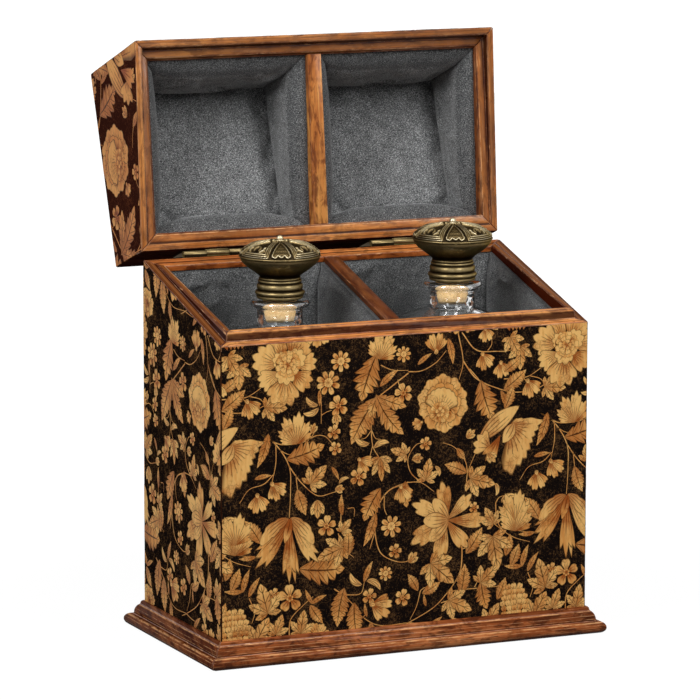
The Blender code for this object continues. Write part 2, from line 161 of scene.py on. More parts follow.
def hangLight(name, azimuth, elevation, distance, width, height, watts):
    way = wayTo(math.radians(azimuth), math.radians(elevation))
    lamp = linked(name, bpy.data.lights.new(name, "AREA"))
    lamp.data.shape = "RECTANGLE"
    lamp.data.size, lamp.data.size_y = width, height
    lamp.data.energy = watts
    facing = way.to_track_quat("Z", "Y").to_matrix().to_4x4()
    lamp.matrix_world = Matrix.Translation(lightAim + way * distance) @ facing


for boxName, values in softBoxes.items():
    hangLight(boxName, *values)


def tone(red, green, blue):  # a colour as the eye reads it, 0 to 255
    linear = [((c / 255 + 0.055) / 1.055) ** 2.4 if c > 10 else c / 255 / 12.92 for c in (red, green, blue)]
    return (*linear, 1.0)


# Shader maths


class Signal:
    # One socket of a finish, for use in sums.
    def __init__(self, finish, socket):
        self.finish = finish
        self.socket = socket

    def __add__(self, other):
        return self.finish.maths("ADD", self, other)

    def __sub__(self, other):
        return self.finish.maths("SUBTRACT", self, other)

    def __rsub__(self, other):
        return self.finish.maths("SUBTRACT", other, self)

    def __mul__(self, other):
        return self.finish.maths("MULTIPLY", self, other)

    def __truediv__(self, other):
        return self.finish.maths("DIVIDE", self, other)

    def __pow__(self, other):
        return self.finish.maths("POWER", self, other)

    def __abs__(self):
        return self.finish.maths("ABSOLUTE", self)

    __radd__ = __add__
    __rmul__ = __mul__


class Finish:
    # A material whose nodes are written as sums. The room's light is made the same way.
    def __init__(self, name, kind="materials"):
        self.material = getattr(bpy.data, kind).new(name)
        self.material.use_nodes = True
        self.tree = self.material.node_tree
        self.tree.nodes.clear()

    def node(self, kind, settings=None, sockets=None, out=0):
        given = {key: getattr(value, "socket", value) for key, value in (sockets or {}).items()}
        made = treeNode(self.tree, kind, settings, given)
        return Signal(self, made.outputs[out]) if made.outputs else None

    def maths(self, operation, *values):
        return self.node("ShaderNodeMath", {"operation": operation}, dict(enumerate(values)))

    def position(self):
        return self.node("ShaderNodeTexCoord", out="Object")

    def attribute(self, name, out="Fac"):
        return self.node("ShaderNodeAttribute", {"attribute_name": name}, out=out)

    def stretched(self, vector, scale):
        return self.node("ShaderNodeMapping", None, {"Vector": vector, "Scale": scale})

    def noise(self, vector, scale, detail, rough=0.55, bend=0.0):
        sockets = {"Vector": vector, "Scale": scale, "Detail": detail, "Roughness": rough, "Distortion": bend}
        return self.node("ShaderNodeTexNoise", None, sockets)

    def cells(self, vector, scale, feature="F1"):
        sockets = {"Vector": vector, "Scale": scale}
        return self.node("ShaderNodeTexVoronoi", {"feature": feature}, sockets, out="Distance")

    def between(self, value, low, high):  # 0 up to low, 1 from high on
        sockets = {"Value": value, "From Min": low, "From Max": high}
        return self.node("ShaderNodeMapRange", {"interpolation_type": "SMOOTHSTEP"}, sockets)

    def mixed(self, share, first, second):
        return self.node("ShaderNodeMix", {"data_type": "RGBA"}, {0: share, 6: first, 7: second}, out=2)

    def ramp(self, value, *stops):
        graded = self.node("ShaderNodeValToRGB", None, {0: value})
        elements = graded.socket.node.color_ramp.elements
        while len(elements) < len(stops):
            elements.new(1.0)
        for element, (place, colour) in zip(elements, stops):
            element.position, element.color = place, colour
        return graded

    def seen(self):  # by the camera, in a reflection or through glass
        rays = ("Is Camera Ray", "Is Glossy Ray", "Is Transmission Ray")
        sight, mirror, through = (self.node("ShaderNodeLightPath", out=ray) for ray in rays)
        return self.maths("MAXIMUM", self.maths("MAXIMUM", sight, mirror), through)

    def relief(self, height, strength, depth):
        return self.node("ShaderNodeBump", None, {"Height": height, "Strength": strength, "Distance": depth})

    def surface(self, sockets):
        return self.shown(self.node("ShaderNodeBsdfPrincipled", None, sockets))

    def shown(self, shader, kind="Material"):
        self.node(f"ShaderNodeOutput{kind}", None, {"Surface": shader})
        return self.material


def makeWood(name, dark, middle, light, wornAndHighlit, shine, coat, shadedCreases=(), swells=(), lines=()):
    # Polished wood with its grain along the piece. "wornAndHighlit" is how much the edges have rubbed pale,
    # which on the eased edges also stands for a painted highlight.
    # Dark creases (painted shade), rounded swells (lightened at the crest as a painted highlight) and pale
    # lines (painted highlights) run along it, each as (millimetres from its side, half width, strength).
    wood = Finish(name)
    grain = wood.attribute("grain", "Vector")
    figure = wood.noise(wood.stretched(grain, (7, 46, 46)), 1.0, 5, 0.6, 0.8)
    pores = wood.noise(wood.stretched(grain, (60, 1500, 1500)), 1.0, 3, 0.6)
    blotch = wood.noise(grain, 38, 3)
    rub = wood.noise(wood.stretched(grain, (120, 520, 520)), 1.0, 4, 0.7)
    streak = wood.noise(wood.stretched(grain, (26, 420, 420)), 1.0, 3, 0.6)
    curl = wood.noise(wood.stretched(grain, (90, 16, 16)), 1.0, 3, 0.5)
    patch = wood.noise(wood.stretched(grain, (70, 210, 210)), 1.0, 4, 0.65, 0.6)
    colour = wood.ramp(figure, (0.28, tone(*dark)), (0.5, tone(*middle)), (0.72, tone(*light)))
    for stain, low, high, share, stainTone in (
        (pores, 0.5, 0.68, 0.45, dark), (curl, 0.52, 0.74, 0.45, dark), (blotch, 0.54, 0.76, 0.6, dark),
        (streak, 0.56, 0.70, 0.5, light), (patch, 0.46, 0.62, 0.75, dark),
    ):
        colour = wood.mixed(wood.between(stain, low, high) * share, colour, tone(*stainTone))
    # Painted shade: a whole piece is darkened by its age share.
    colour = wood.mixed(wood.attribute("age"), colour, tone(*dark))
    # Pale streaks along the grain: wear, and on the eased edges also a painted highlight.
    pale = tone(232, 174, 120)
    colour = wood.mixed(
        wood.between(rub, 0.66 - wornAndHighlit * 0.3, 0.80 - wornAndHighlit * 0.22) * min(1.0, 0.35 + wornAndHighlit), colour, pale
    )
    inset = wood.attribute("inset") + (blotch - 0.5) * 0.6
    form = pores - rub * 0.6
    gleam = wood.between(patch, 0.34, 0.46) * coat
    for at, half, strength in swells:
        crest = 1 - wood.between(abs(inset - at), half * 0.2, half * 0.8)
        gleam = gleam + crest * wood.between(streak, 0.46, 0.58) * 4 * coat
        rise = wood.maths("MAXIMUM", 1 - (abs(inset - at) / half) ** 2.0, 0.0)
        form = form + rise * strength
        # Painted highlight: the swell's crest is lightened, besides its bump.
        colour = wood.mixed(rise * 0.22, colour, tone(*light))
    # Painted shade: creases are darkened, besides their dent in the bump.
    for at, half, strength in shadedCreases:
        fold = 1 - wood.between(abs(inset - at), half * 0.3, half)
        form = form - fold * 1.5
        colour = wood.mixed(fold * strength, colour, tone(44, 16, 8))
    # Painted highlights: pale lines along the edges, broken by the streak noise.
    for at, half, strength in lines:
        line = 1 - wood.between(abs(inset - at), half * 0.3, half)
        colour = wood.mixed(line * wood.between(rub, 0.36, 0.6) * strength, colour, pale)
    return wood.surface({
        "Base Color": colour,
        "Roughness": wood.between(blotch, 0.3, 0.7) * 0.14 + shine,
        "Specular IOR Level": 0.12 if coat > 0.05 else 0.0,
        "Coat Weight": gleam + coat if coat else 0.0,
        "Coat Roughness": 0.12,
        "Normal": wood.relief(form, 0.35, 0.0002),
    })


# For each moulding: creases darkened as painted shade, swells, and pale lines that are painted highlights,
# each as (millimetres from its side, half width, strength).
lidCreaseShades = ((5.3, 1.3, 0.9), (11.5, 0.7, 0.7), (2.2, 0.5, 0.35))
lidSwells = ((8.8, 2.6, 5.0), (2.9, 2.2, 2.5))
lidHighlightLines = ((10.6, 0.5, 0.75), (0.5, 0.5, 0.4), (4.3, 0.35, 0.3))
caseCreaseShades = ((6.4, 1.1, 0.9), (2.6, 0.6, 0.5))
caseSwells = ((9.3, 2.4, 4.0), (3.6, 2.6, 3.0))
caseHighlightLines = ((11.2, 0.5, 0.85), (0.5, 0.5, 0.35), (7.3, 0.3, 0.3))
plinthCreaseShades = ((8.7, 0.6, 0.8), (1.2, 1.4, 0.6), (14.0, 0.5, 0.4))
plinthHighlightLines = (
    (7.7, 0.5, 0.8), (6.0, 0.3, 0.45), (3.2, 0.3, 0.4), (9.8, 0.35, 0.5), (12.2, 0.3, 0.45), (15.3, 0.6, 0.9)
)
looks = {
    "lidRail": makeWood(
        "red_brown_wood", (74, 27, 8), (168, 94, 42), (230, 154, 80), 0.0, 0.24, 0.08, lidCreaseShades, lidSwells,
        lidHighlightLines
    ),
    "caseRail": makeWood(
        "case_rail_wood", (70, 24, 8), (182, 98, 44), (236, 156, 86), 0.0, 0.26, 0.04, caseCreaseShades, caseSwells,
        caseHighlightLines
    ),
    "cap": makeWood("divider_cap_wood", (96, 40, 13), (190, 114, 52), (242, 178, 98), 0.0, 0.26, 0.06),
    # A lighter copy of the case rails' wood for the front rail: painted light.
    "frontRail": makeWood(
        "front_rail_wood", (96, 38, 14), (214, 126, 64), (248, 182, 110), 0.0, 0.26, 0.04, caseCreaseShades,
        caseSwells, caseHighlightLines
    ),
    "shadedCap": makeWood("shaded_cap_wood", (66, 25, 8), (140, 76, 34), (198, 126, 66), 0.0, 0.26, 0.06),
    # The eased edges are paler and glossier: rubbed wear, and a painted highlight along each edge.
    "railEdge": makeWood("rubbed_edge_wood", (84, 38, 18), (160, 96, 54), (226, 170, 120), 0.40, 0.26, 0.10),
    "plinth": makeWood(
        "plinth_wood", (60, 22, 9), (150, 80, 40), (214, 138, 84), 0.10, 0.30, 0.04, plinthCreaseShades, (),
        plinthHighlightLines
    ),
    "plinthEdge": makeWood(
        "rubbed_plinth_edge", (96, 50, 30), (166, 108, 76), (222, 178, 146), 0.45, 0.30, 0.08
    ),
    "veneer": makeWood("dark_veneer", (42, 18, 14), (70, 33, 25), (94, 50, 37), 0.0, 0.5, 0.0),
    "veneerEdge": makeWood("dark_veneer_edge", (50, 24, 18), (88, 48, 30), (124, 76, 48), 0.2, 0.40, 0.0),
}


def makeGround(name, deep, fleckTone, streakTone):
    # Blackened veneer under the inlay, with mottled brown flecks.
    ground = Finish(name)
    place = ground.position()
    fleck = ground.noise(place, 520, 4, 0.7, 1.5)
    cloud = ground.noise(place, 60, 3, 0.6)
    streak = ground.noise(ground.stretched(place, (900, 900, 300)), 1.0, 3, 0.7, 2.0)
    mask = ground.between(fleck + (cloud - 0.5) * 0.35, 0.50, 0.68)
    colour = ground.mixed(mask * 0.6, tone(*deep), tone(*fleckTone))
    colour = ground.mixed(ground.between(streak, 0.58, 0.72) * 0.35, colour, tone(*streakTone))
    return ground.surface({
        "Base Color": colour,
        "Roughness": fleck * 0.2 + 0.36,
        "Specular IOR Level": 0.0,
        "Normal": ground.relief(fleck, 0.15, 0.0001),
    })


def makeFelt(name, light):
    # Mottled grey wool felt with short fibres.
    felt = Finish(name)
    greys = ((44, 45, 46), (90, 91, 92), (118, 119, 119), (184, 185, 185))
    tones = [tone(*(light * level for level in grey)) for grey in greys]
    place = felt.position()
    mottle = felt.noise(place, 1450, 2, 0.7)
    cloud = felt.noise(place, 110, 4, 0.6)
    # Painted shade: the felt is darkened towards its held edges, where pads meet each other and the wood.
    seam = 1 - felt.between(felt.attribute("seam"), 0.0, 0.16)
    fibre = felt.noise(place, 2600, 2, 0.6, 2.0)
    colour = felt.ramp(mottle + (cloud - 0.5) * 0.16, *zip((0.34, 0.46, 0.55, 0.68), tones))
    colour = felt.mixed(seam * 0.5, colour, tone(28, 29, 31))
    return felt.surface({
        "Base Color": colour,
        "Roughness": 0.95,
        "Specular IOR Level": 0.15,
        "Sheen Weight": 0.25,
        "Sheen Roughness": 0.5,
        "Normal": felt.relief(mottle * 0.7 + fibre * 0.3, 0.5, 0.0006),
    })


def makeBrass(name):
    # Old brass: dark where dirt sits, pale where hands have rubbed it.
    brass = Finish(name)
    place = brass.position()
    patch = brass.noise(place, 170, 4, 0.6)
    fine = brass.noise(place, 900, 3, 0.6)
    share = brass.attribute("wear") + (patch - 0.5) * 0.35 + (fine - 0.5) * 0.2
    tones = (tone(34, 27, 16), tone(92, 77, 50), tone(138, 121, 84), tone(222, 208, 174))
    colour = brass.ramp(share, *zip((0.08, 0.36, 0.62, 0.92), tones))
    return brass.surface({
        "Base Color": colour,
        "Metallic": 0.92,
        "Specular Tint": (0.42, 0.35, 0.22, 1),
        "Roughness": 0.44 - brass.between(share, 0.3, 0.9) * 0.16,
        "Normal": brass.relief(fine, 0.12, 0.0002),
    })


def makeGlass():
    # Clear glass that lets the lamps through to what it holds.
    glass = Finish("clear_glass")
    wave = glass.noise(glass.position(), 26, 2)
    clear = glass.node("ShaderNodeBsdfPrincipled", None, {
        "Base Color": (0.985, 0.995, 0.99, 1),
        "Roughness": 0.0,
        "IOR": 1.5,
        "Transmission Weight": 1.0,
        "Coat Weight": glass.attribute("lip"),
        "Coat IOR": 2.1,
        "Normal": glass.relief(wave, 0.06, 0.002),
    })
    passing = glass.node("ShaderNodeBsdfTransparent", None, {"Color": (0.95, 0.96, 0.955, 1)})
    lamp = glass.node("ShaderNodeLightPath", out="Is Shadow Ray")
    both = glass.node("ShaderNodeMixShader", None, {0: lamp, 1: clear, 2: passing})
    return glass.shown(both)


def makeCork():
    cork = Finish("natural_cork")
    place = cork.position()
    body = cork.noise(place, 420, 5, 0.7)
    pit = cork.cells(place, 640)
    streak = cork.noise(cork.stretched(place, (260, 260, 900)), 1.0, 3, 0.6)
    colour = cork.ramp(
        body, (0.3, tone(196, 146, 88)), (0.5, tone(232, 190, 130)), (0.72, tone(248, 220, 172))
    )
    hole = 1 - cork.between(pit, 0.10, 0.30)
    colour = cork.mixed(hole * 0.55 + cork.between(streak, 0.62, 0.74) * 0.4, colour, tone(120, 76, 38))
    return cork.surface({
        "Base Color": colour,
        "Roughness": 0.85,
        "Normal": cork.relief(body - hole * 0.5, 0.5, 0.0006),
    })


looks.update(
    ground=makeGround("marquetry_ground", (20, 15, 14), (126, 90, 54), (62, 48, 38)),
    redGround=makeGround("red_brown_ground", (54, 26, 19), (118, 66, 42), (78, 46, 36)),
    # The same felt twice: lighter in the lid as painted light, darker in the case as painted shade.
    lidFelt=makeFelt("wool_felt", 1.10),
    caseFelt=makeFelt("shaded_wool_felt", 0.84),
    brass=makeBrass("antique_brass"),
    glass=makeGlass(),
    cork=makeCork(),
)
print("finishes made:", len(looks))

# The floor and the room

floorWork = {
    "size": 36,
    "matt": 0.30,
    "white": 1.15,
    "whiteNear": 0.85,  # the share of white close to the case, and what is added away from it
    "whiteRest": 0.15,
    "shadowEnds": (0.25, 0.9),
}


def layFloor(work):
    # White to the camera and in reflections and through glass, but it keeps the shadow.
    paper = Finish("pale_floor")
    matt = paper.node("ShaderNodeBsdfDiffuse", None, {"Color": (work["matt"], work["matt"], work["matt"], 1)})
    white = paper.node("ShaderNodeEmission", None, {"Color": (1, 1, 1, 1), "Strength": work["white"]})
    away = paper.node("ShaderNodeVectorMath", {"operation": "LENGTH"}, {0: paper.position()}, out="Value")
    share = paper.seen() * (work["whiteNear"] + paper.between(away, *work["shadowEnds"]) * work["whiteRest"])
    both = paper.node("ShaderNodeMixShader", None, {0: share, 1: matt, 2: white})
    bpy.ops.mesh.primitive_plane_add(size=work["size"])
    floor = bpy.context.object
    floor.name = "studio_floor"
    floor.data.materials.append(paper.shown(both))


def lightWorld(strength):
    room = Finish("studio", "worlds")
    power = room.seen() * (1 - strength) + strength
    light = room.node("ShaderNodeBackground", None, {"Color": (1, 1, 1, 1), "Strength": power})
    scene.world = room.shown(light, "World")


layFloor(floorWork)
lightWorld(strength=0.06)
scene.view_settings.view_transform = "Standard"

# Solids with eased edges

hinge = {"y": 0.0750, "z": 0.2659, "angle": math.radians(109.7), "knuckle": (0.0024, 0.0030)}
hingeAxis = Vector((0, hinge["y"], hinge["z"]))
toAxis, fromAxis = Matrix.Translation(hingeAxis), Matrix.Translation(-hingeAxis)
opened = toAxis @ Matrix.Rotation(-hinge["angle"], 4, "X") @ fromAxis
shut = opened.inverted()


def settle(name, mesh, body, finishes, stands):
    # A finished mesh becomes a piece on a body, in place of the solids it stands for.
    mesh.name = name
    numbers = [face.material_index for face in mesh.polygons]
    mesh.materials.clear()
    for finish in finishes:
        mesh.materials.append(finish)
    if max(numbers) < len(finishes):
        mesh.polygons.foreach_set("material_index", numbers)
    piece = linked(name, mesh)
    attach(piece, body)
    if stands:
        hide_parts(*stands)
    return piece


def baked(piece):
    # The mesh with its modifiers in it. The object that carried them goes.
    graph = bpy.context.evaluated_depsgraph_get()
    mesh = bpy.data.meshes.new_from_object(piece.evaluated_get(graph), depsgraph=graph)
    bpy.data.objects.remove(piece)
    return mesh


def points(mesh):
    flat = np.empty(len(mesh.vertices) * 3)
    mesh.vertices.foreach_get("co", flat)
    return flat.reshape(-1, 3)


def turnedBy(matrix, co):
    m = np.array(matrix)
    return co @ m[:3, :3].T + m[:3, 3]


def addValues(mesh, name, values):
    # A number or a vector for each point.
    values = np.asarray(values, float)
    kind, field = ("FLOAT_VECTOR", "vector") if values.ndim == 2 else ("FLOAT", "value")
    mesh.attributes.new(name, kind, "POINT").data.foreach_set(field, values.ravel())


def atRest(mesh, body):  # its points, with the lid shut
    return turnedBy(shut, points(mesh)) if body == "lid" else points(mesh)


lowPiece = 0.06
grainShift = (0.37, 0.11, 0.23)  # so that no two pieces are cut from the same place


def addGrain(mesh, body, seed):
    # The grain runs along the piece's longest side.
    co = atRest(mesh, body)
    if np.ptp(co[:, 2]) < lowPiece:  # rails are low, and lie along the slope
        co[:, 2] -= caseSize["slope"] * co[:, 1]
    order = np.argsort(-np.ptp(co, axis=0), kind="stable")
    addValues(mesh, "grain", co[:, order] + seed * np.array(grainShift))


def smoothStep(value, low, high):
    share = np.clip((value - low) / (high - low), 0, 1)
    return share * share * (3 - 2 * share)


def looseCopy(node):
    bm = bmesh.new()
    bm.from_mesh(frame["nodes"][node].data)
    bmesh.ops.remove_doubles(bm, verts=bm.verts, dist=0.00001)
    return bm


def startOf(node, table):
    # The table's value for the first start of a name that the node has.
    return next((value for start, value in table.items() if node.startswith(start)), None)


def ease(node, finish, edgeFinish, width, seed):
    bm = looseCopy(node)
    bmesh.ops.dissolve_limit(bm, angle_limit=math.radians(easeWork["flat"]), verts=bm.verts, edges=bm.edges)
    mesh = meshOf(bm, node)
    mesh.shade_smooth()
    mesh.materials.append(finish)
    mesh.materials.append(edgeFinish)
    piece = linked(node, mesh)
    bevel = piece.modifiers.new("eased edge", "BEVEL")
    bevel.width = width
    bevel.segments = easeWork["segments"]
    bevel.limit_method = "ANGLE"
    bevel.angle_limit = math.radians(easeWork["sharp"])
    bevel.harden_normals = True
    bevel.material = 1
    mesh = baked(piece)
    addGrain(mesh, nodeBody[node], seed)
    co = atRest(mesh, nodeBody[node])
    addValues(mesh, "age", np.full(len(co), startOf(node, paintedShadeShares) or 0.0))
    side = node.split("_")[-1]
    finishes = (finish, edgeFinish)
    if "_rim_" in node:
        # How far in from the frame's outer side, in millimetres. Its back is dark and matt.
        axis, way = {"left": (0, 1), "right": (0, -1), "front": (1, 1), "back": (1, -1)}[side]
        edge = (caseSize["halfWide"], caseSize["halfDeep"])[axis]
        addValues(mesh, "inset", (edge + way * co[:, axis]) * 1000)
        finishes = (finish, edgeFinish, looks["veneer"])
        behind = (opened.to_3x3() if nodeBody[node] == "lid" else Matrix.Identity(3)) @ Vector((0, 1, 0))
        for face in mesh.polygons:
            if side == "back" and face.normal.dot(behind) > 0.5:
                face.material_index = 2
    elif node.startswith("plinth"):
        addValues(mesh, "inset", co[:, 2] * 1000)
    elif node.startswith("hinge"):
        away = np.hypot(co[:, 1] - hinge["y"], co[:, 2] - hinge["z"])
        # The knuckles are rubbed and the leaves are dull.
        addValues(mesh, "wear", 0.52 - 0.5 * smoothStep(away, *hinge["knuckle"]))
    return settle(f"{node}_eased", mesh, nodeBody[node], finishes, (node,))


easeWork = {"flat": 1.0, "sharp": 33, "segments": 2}  # in degrees, but for the segments
edgeWork = {
    # name's start: (finish, its edges' finish, width of the eased edge, slot)
    "case_rim_front": ("frontRail", "railEdge", 0.0005, "red_brown_wood"),
    "case_rim": ("caseRail", "railEdge", 0.0005, "red_brown_wood"),
    "lid_rim": ("lidRail", "railEdge", 0.0005, "red_brown_wood"),
    "case_divider": ("shadedCap", "railEdge", 0.0004, "red_brown_wood"),
    "lid_divider": ("cap", "railEdge", 0.0004, "red_brown_wood"),
    "plinth": ("plinth", "plinthEdge", 0.0005, "red_brown_wood"),
    "case_back_panel": ("veneer", "veneerEdge", 0.0005, "dark_veneer"),
    "lid_back_panel": ("veneer", "veneerEdge", 0.0005, "dark_veneer"),
    "case_": ("ground", "veneerEdge", 0.0005, "marquetry"),
    "lid_": ("ground", "veneerEdge", 0.0005, "marquetry"),
    "base_board": ("veneer", "veneerEdge", 0.0006, "dark_veneer"),
    "hinge": ("brass", "brass", 0.0002, "antique_brass"),
}
# How far each piece is darkened as painted shade: the case's side rails, the divider in the case, the
# plinth's left face and two of the lid's rails.
paintedShadeShares = {
    "lid_rim_front": 0.15, "lid_rim_left": 0.12, "case_rim_left": 1.0, "case_rim_right": 1.0,
    "plinth_left": 0.45, "case_divider": 0.6
}
for seed, node in enumerate(sorted(nodeBody)):
    wanted = startOf(node, edgeWork)
    if wanted and "_pad_" not in node:
        finish, edgeFinish, width, slotName = wanted
        ease(node, looks[finish], looks[edgeFinish], width, seed)
print("edges eased")

# Decanters

decanterShape = {
    "segments": 96,
    "footRound": 0.0030,
    "wall": 0.0036,
    "floor": 0.0080,
    "neckRadius": 0.0160,
    "neckLength": 0.0182,
    "shoulderHeight": 0.0300,
    "shoulderPower": 1.8,
    "shoulderSteps": 14,
    "ringRadius": 0.0210,
    "ringHalf": 0.0022,
    "boreRadius": 0.0124,
    "squarePower": 7.0,
    "lipShine": 1.0,
    "neckShine": 0.07,
    "slack": 0.0002,
}


def outward(mesh):
    bm = bmesh.new()
    bm.from_mesh(mesh)
    bmesh.ops.recalc_face_normals(bm, faces=bm.faces)
    bm.to_mesh(mesh)
    bm.free()


def loft(rows, segments):
    # Rings of points, each from (half x, half y, height, power): 2 is round, more is squarer.
    angles = np.arange(segments) * 2 * math.pi / segments
    co = []
    for halfX, halfY, height, power in rows:
        reach = (np.abs(np.cos(angles)) ** power + np.abs(np.sin(angles)) ** power) ** (-1 / power)
        x, y = halfX * reach * np.cos(angles), halfY * reach * np.sin(angles)
        co.append(np.stack([x, y, np.full(segments, height)], 1))
    return np.array(co)


def skin(rings):
    # A mesh through a stack of rings, with its two ends closed.
    count, segments = rings.shape[:2]
    co = rings.reshape(-1, 3).tolist()
    faces = []
    for row in range(count - 1):
        for step in range(segments):
            after = (step + 1) % segments
            low, high = row * segments, (row + 1) * segments
            faces.append((low + step, low + after, high + after, high + step))
    for row in (0, count - 1):
        co.append(rings[row].mean(0).tolist())
        for step in range(segments):
            faces.append((row * segments + step, row * segments + (step + 1) % segments, len(co) - 1))
    mesh = bpy.data.meshes.new("skin")
    mesh.from_pydata(co, [], faces)
    outward(mesh)
    mesh.shade_smooth()
    return mesh


def shoulder(body, neck, bottom, shape):
    rows = []
    for step in range(shape["shoulderSteps"] + 1):
        share = step / shape["shoulderSteps"]
        angle = math.pi * share / 2
        left = math.cos(angle) ** shape["shoulderPower"]
        wide, deep = (neck + (half - neck) * left for half in body)
        power = shape["squarePower"] + (2 - shape["squarePower"]) * share
        rows.append((wide, deep, bottom + shape["shoulderHeight"] * math.sin(angle), power))
    return rows


def quarterRound(count):
    # How far in and how far up each step of a rounded edge lies, as shares of its radius.
    angles = [math.pi / 2 * step / (count - 1) for step in range(count)]
    return [(1 - math.sin(angle), 1 - math.cos(angle)) for angle in angles]


def makeDecanter(hand, shape):
    low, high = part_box(f"decanter_{hand}")
    half = ((high.x - low.x) / 2, (high.y - low.y) / 2)
    middle = (low + high) / 2
    top = high.z - low.z
    keys = (
        "footRound", "wall", "floor", "neckRadius", "shoulderHeight", "ringHalf", "boreRadius", "squarePower"
    )
    foot, wall, floor, neck, rise, ring, bore, square = (shape[key] for key in keys)
    lip = top - ring
    shoulderFoot = top - shape["neckLength"] - rise
    # Outside, from the foot up.
    rows = []
    for aside, up in quarterRound(6):
        rows.append((half[0] - foot * aside, half[1] - foot * aside, foot * up, square))
    rows += [(*half, foot + (shoulderFoot - foot) * share, square) for share in (0.25, 0.5, 0.75)]
    rows += shoulder(half, neck, shoulderFoot, shape)
    neckTop = lip - ring
    for share in (0.3, 0.6, 0.85):
        rows.append((neck, neck, shoulderFoot + rise + (neckTop - shoulderFoot - rise) * share, 2))
    centre = shape["ringRadius"] - ring
    for step in range(15):
        angle = math.radians(-90 + 180 * step / 14)
        radius = centre + ring * math.cos(angle)
        rows.append((radius, radius, lip + ring * math.sin(angle), 2))
    # Inside, from the lip down.
    for aside, down in quarterRound(5):
        radius = bore + ring / 2 * aside
        rows.append((radius, radius, top - ring / 2 * down, 2))
    hollow = [side - wall for side in half]
    rows += reversed(shoulder(hollow, bore, shoulderFoot - wall, shape))
    rows += [(*hollow, floor + foot + (shoulderFoot - floor) * share, square) for share in (0.6, 0.3)]
    for up, aside in quarterRound(5):
        rows.append((hollow[0] - foot * aside, hollow[1] - foot * aside, floor + foot * up, square))
    mesh = skin(loft(rows, shape["segments"]) + np.array((middle.x, middle.y, low.z)))
    shine = []
    for wide, _, height, _ in rows:
        onLip = height > neckTop - shape["slack"] and wide > bore + 0.0005
        onNeck = height > shoulderFoot + rise
        shine.append(shape["lipShine"] if onLip else shape["neckShine"] if onNeck else 0.0)
    addValues(mesh, "lip", np.append(np.repeat(shine, shape["segments"]), (0, 0)))
    name = f"decanter_{hand}"
    settle(f"{name}_glass", mesh, name, (looks["glass"],), (name,))
    return Vector((middle.x, middle.y, low.z + lip))


lips = {hand: makeDecanter(hand, decanterShape) for hand in hands}
print("decanters blown")

# Stoppers

stopperShape = {
    "segments": 400,
    "capRadius": 0.0288,
    "capPlane": 0.0339,  # heights are above the middle of the lip ring
    "domeRise": 0.0109,
    "bossRadius": 0.0024,
    "bossRise": 0.0030,
    "neckRadius": 0.0139,
    "neckPlane": 0.0187,
    "flarePower": 1.3,
    "brim": 0.0004,
    # beads: (height, half height, radius, depth)
    "beads": (
        (0.0178, 0.0008, 0.0147, 0.0006), (0.0159, 0.0010, 0.0154, 0.0008), (0.0119, 0.0024, 0.0162, 0.0012),
        (0.0077, 0.0015, 0.0175, 0.0012), (0.0048, 0.0012, 0.0165, 0.0010)
    ),
    "foot": 0.0025,
    "spigotRadius": 0.0035,
    "spigotLength": 0.0080,
    "flange": 0.0090,  # from the spigot to the lowest bead
    "reliefDepth": 0.0021,
    "panelRise": 0.0008,
    "seamTurn": 6,  # degrees, to where the skin closes
    "ornamentTurn": 21,
}
onAxis = 0.00002  # the radius where a turned piece meets its axis


def roundArc(centre, reach, rise, start, end, steps):
    angles = np.radians(np.linspace(start, end, steps + 1))
    return [(centre[0] + reach * math.cos(a), centre[1] + rise * math.sin(a)) for a in angles]


def capRows(shape):
    keys = ("capPlane", "capRadius", "domeRise", "bossRadius", "neckRadius", "brim", "foot", "spigotRadius")
    plane, radius, rise, boss, neck, brim, foot, spigot = (shape[key] for key in keys)
    bossTop = plane + rise + shape["bossRise"]
    rows = [(onAxis, bossTop)]
    rows += roundArc((0, bossTop - boss), boss, boss, 78, -25, 8)
    rows += roundArc((0, plane), radius, rise, 82, 3, 76)
    rows += roundArc((radius - brim, plane - brim), brim, brim, 20, -70, 3)
    flareTop = plane - 2 * brim
    for step in range(1, 23):
        angle = math.pi * step / 44
        width = neck + (radius - 2 * brim - neck) * math.cos(angle) ** shape["flarePower"]
        rows.append((width, flareTop - (flareTop - shape["neckPlane"]) * step / 22))
    for height, half, reach, depth in shape["beads"]:
        rows += roundArc((reach - depth, height), depth, half, 80, -80, 8)
    spigotFoot = foot - shape["spigotLength"]
    rows += [(spigot + shape["flange"], foot), (spigot, foot), (spigot, spigotFoot), (onAxis, spigotFoot)]
    return np.array(rows)


def nearLine(x, y, line):
    # How far each point of the dome is from a line of points.
    best = np.full(x.shape, 9.0)
    for (ax, ay), (bx, by) in zip(line, line[1:]):
        dx, dy = bx - ax, by - ay
        share = np.clip(((x - ax) * dx + (y - ay) * dy) / (dx * dx + dy * dy), 0, 1)
        best = np.minimum(best, np.hypot(x - ax - share * dx, y - ay - share * dy))
    return best


def folded(angle):
    # The same four times round, and mirrored in each.
    return np.abs((angle + math.pi / 4) % (math.pi / 2) - math.pi / 4)


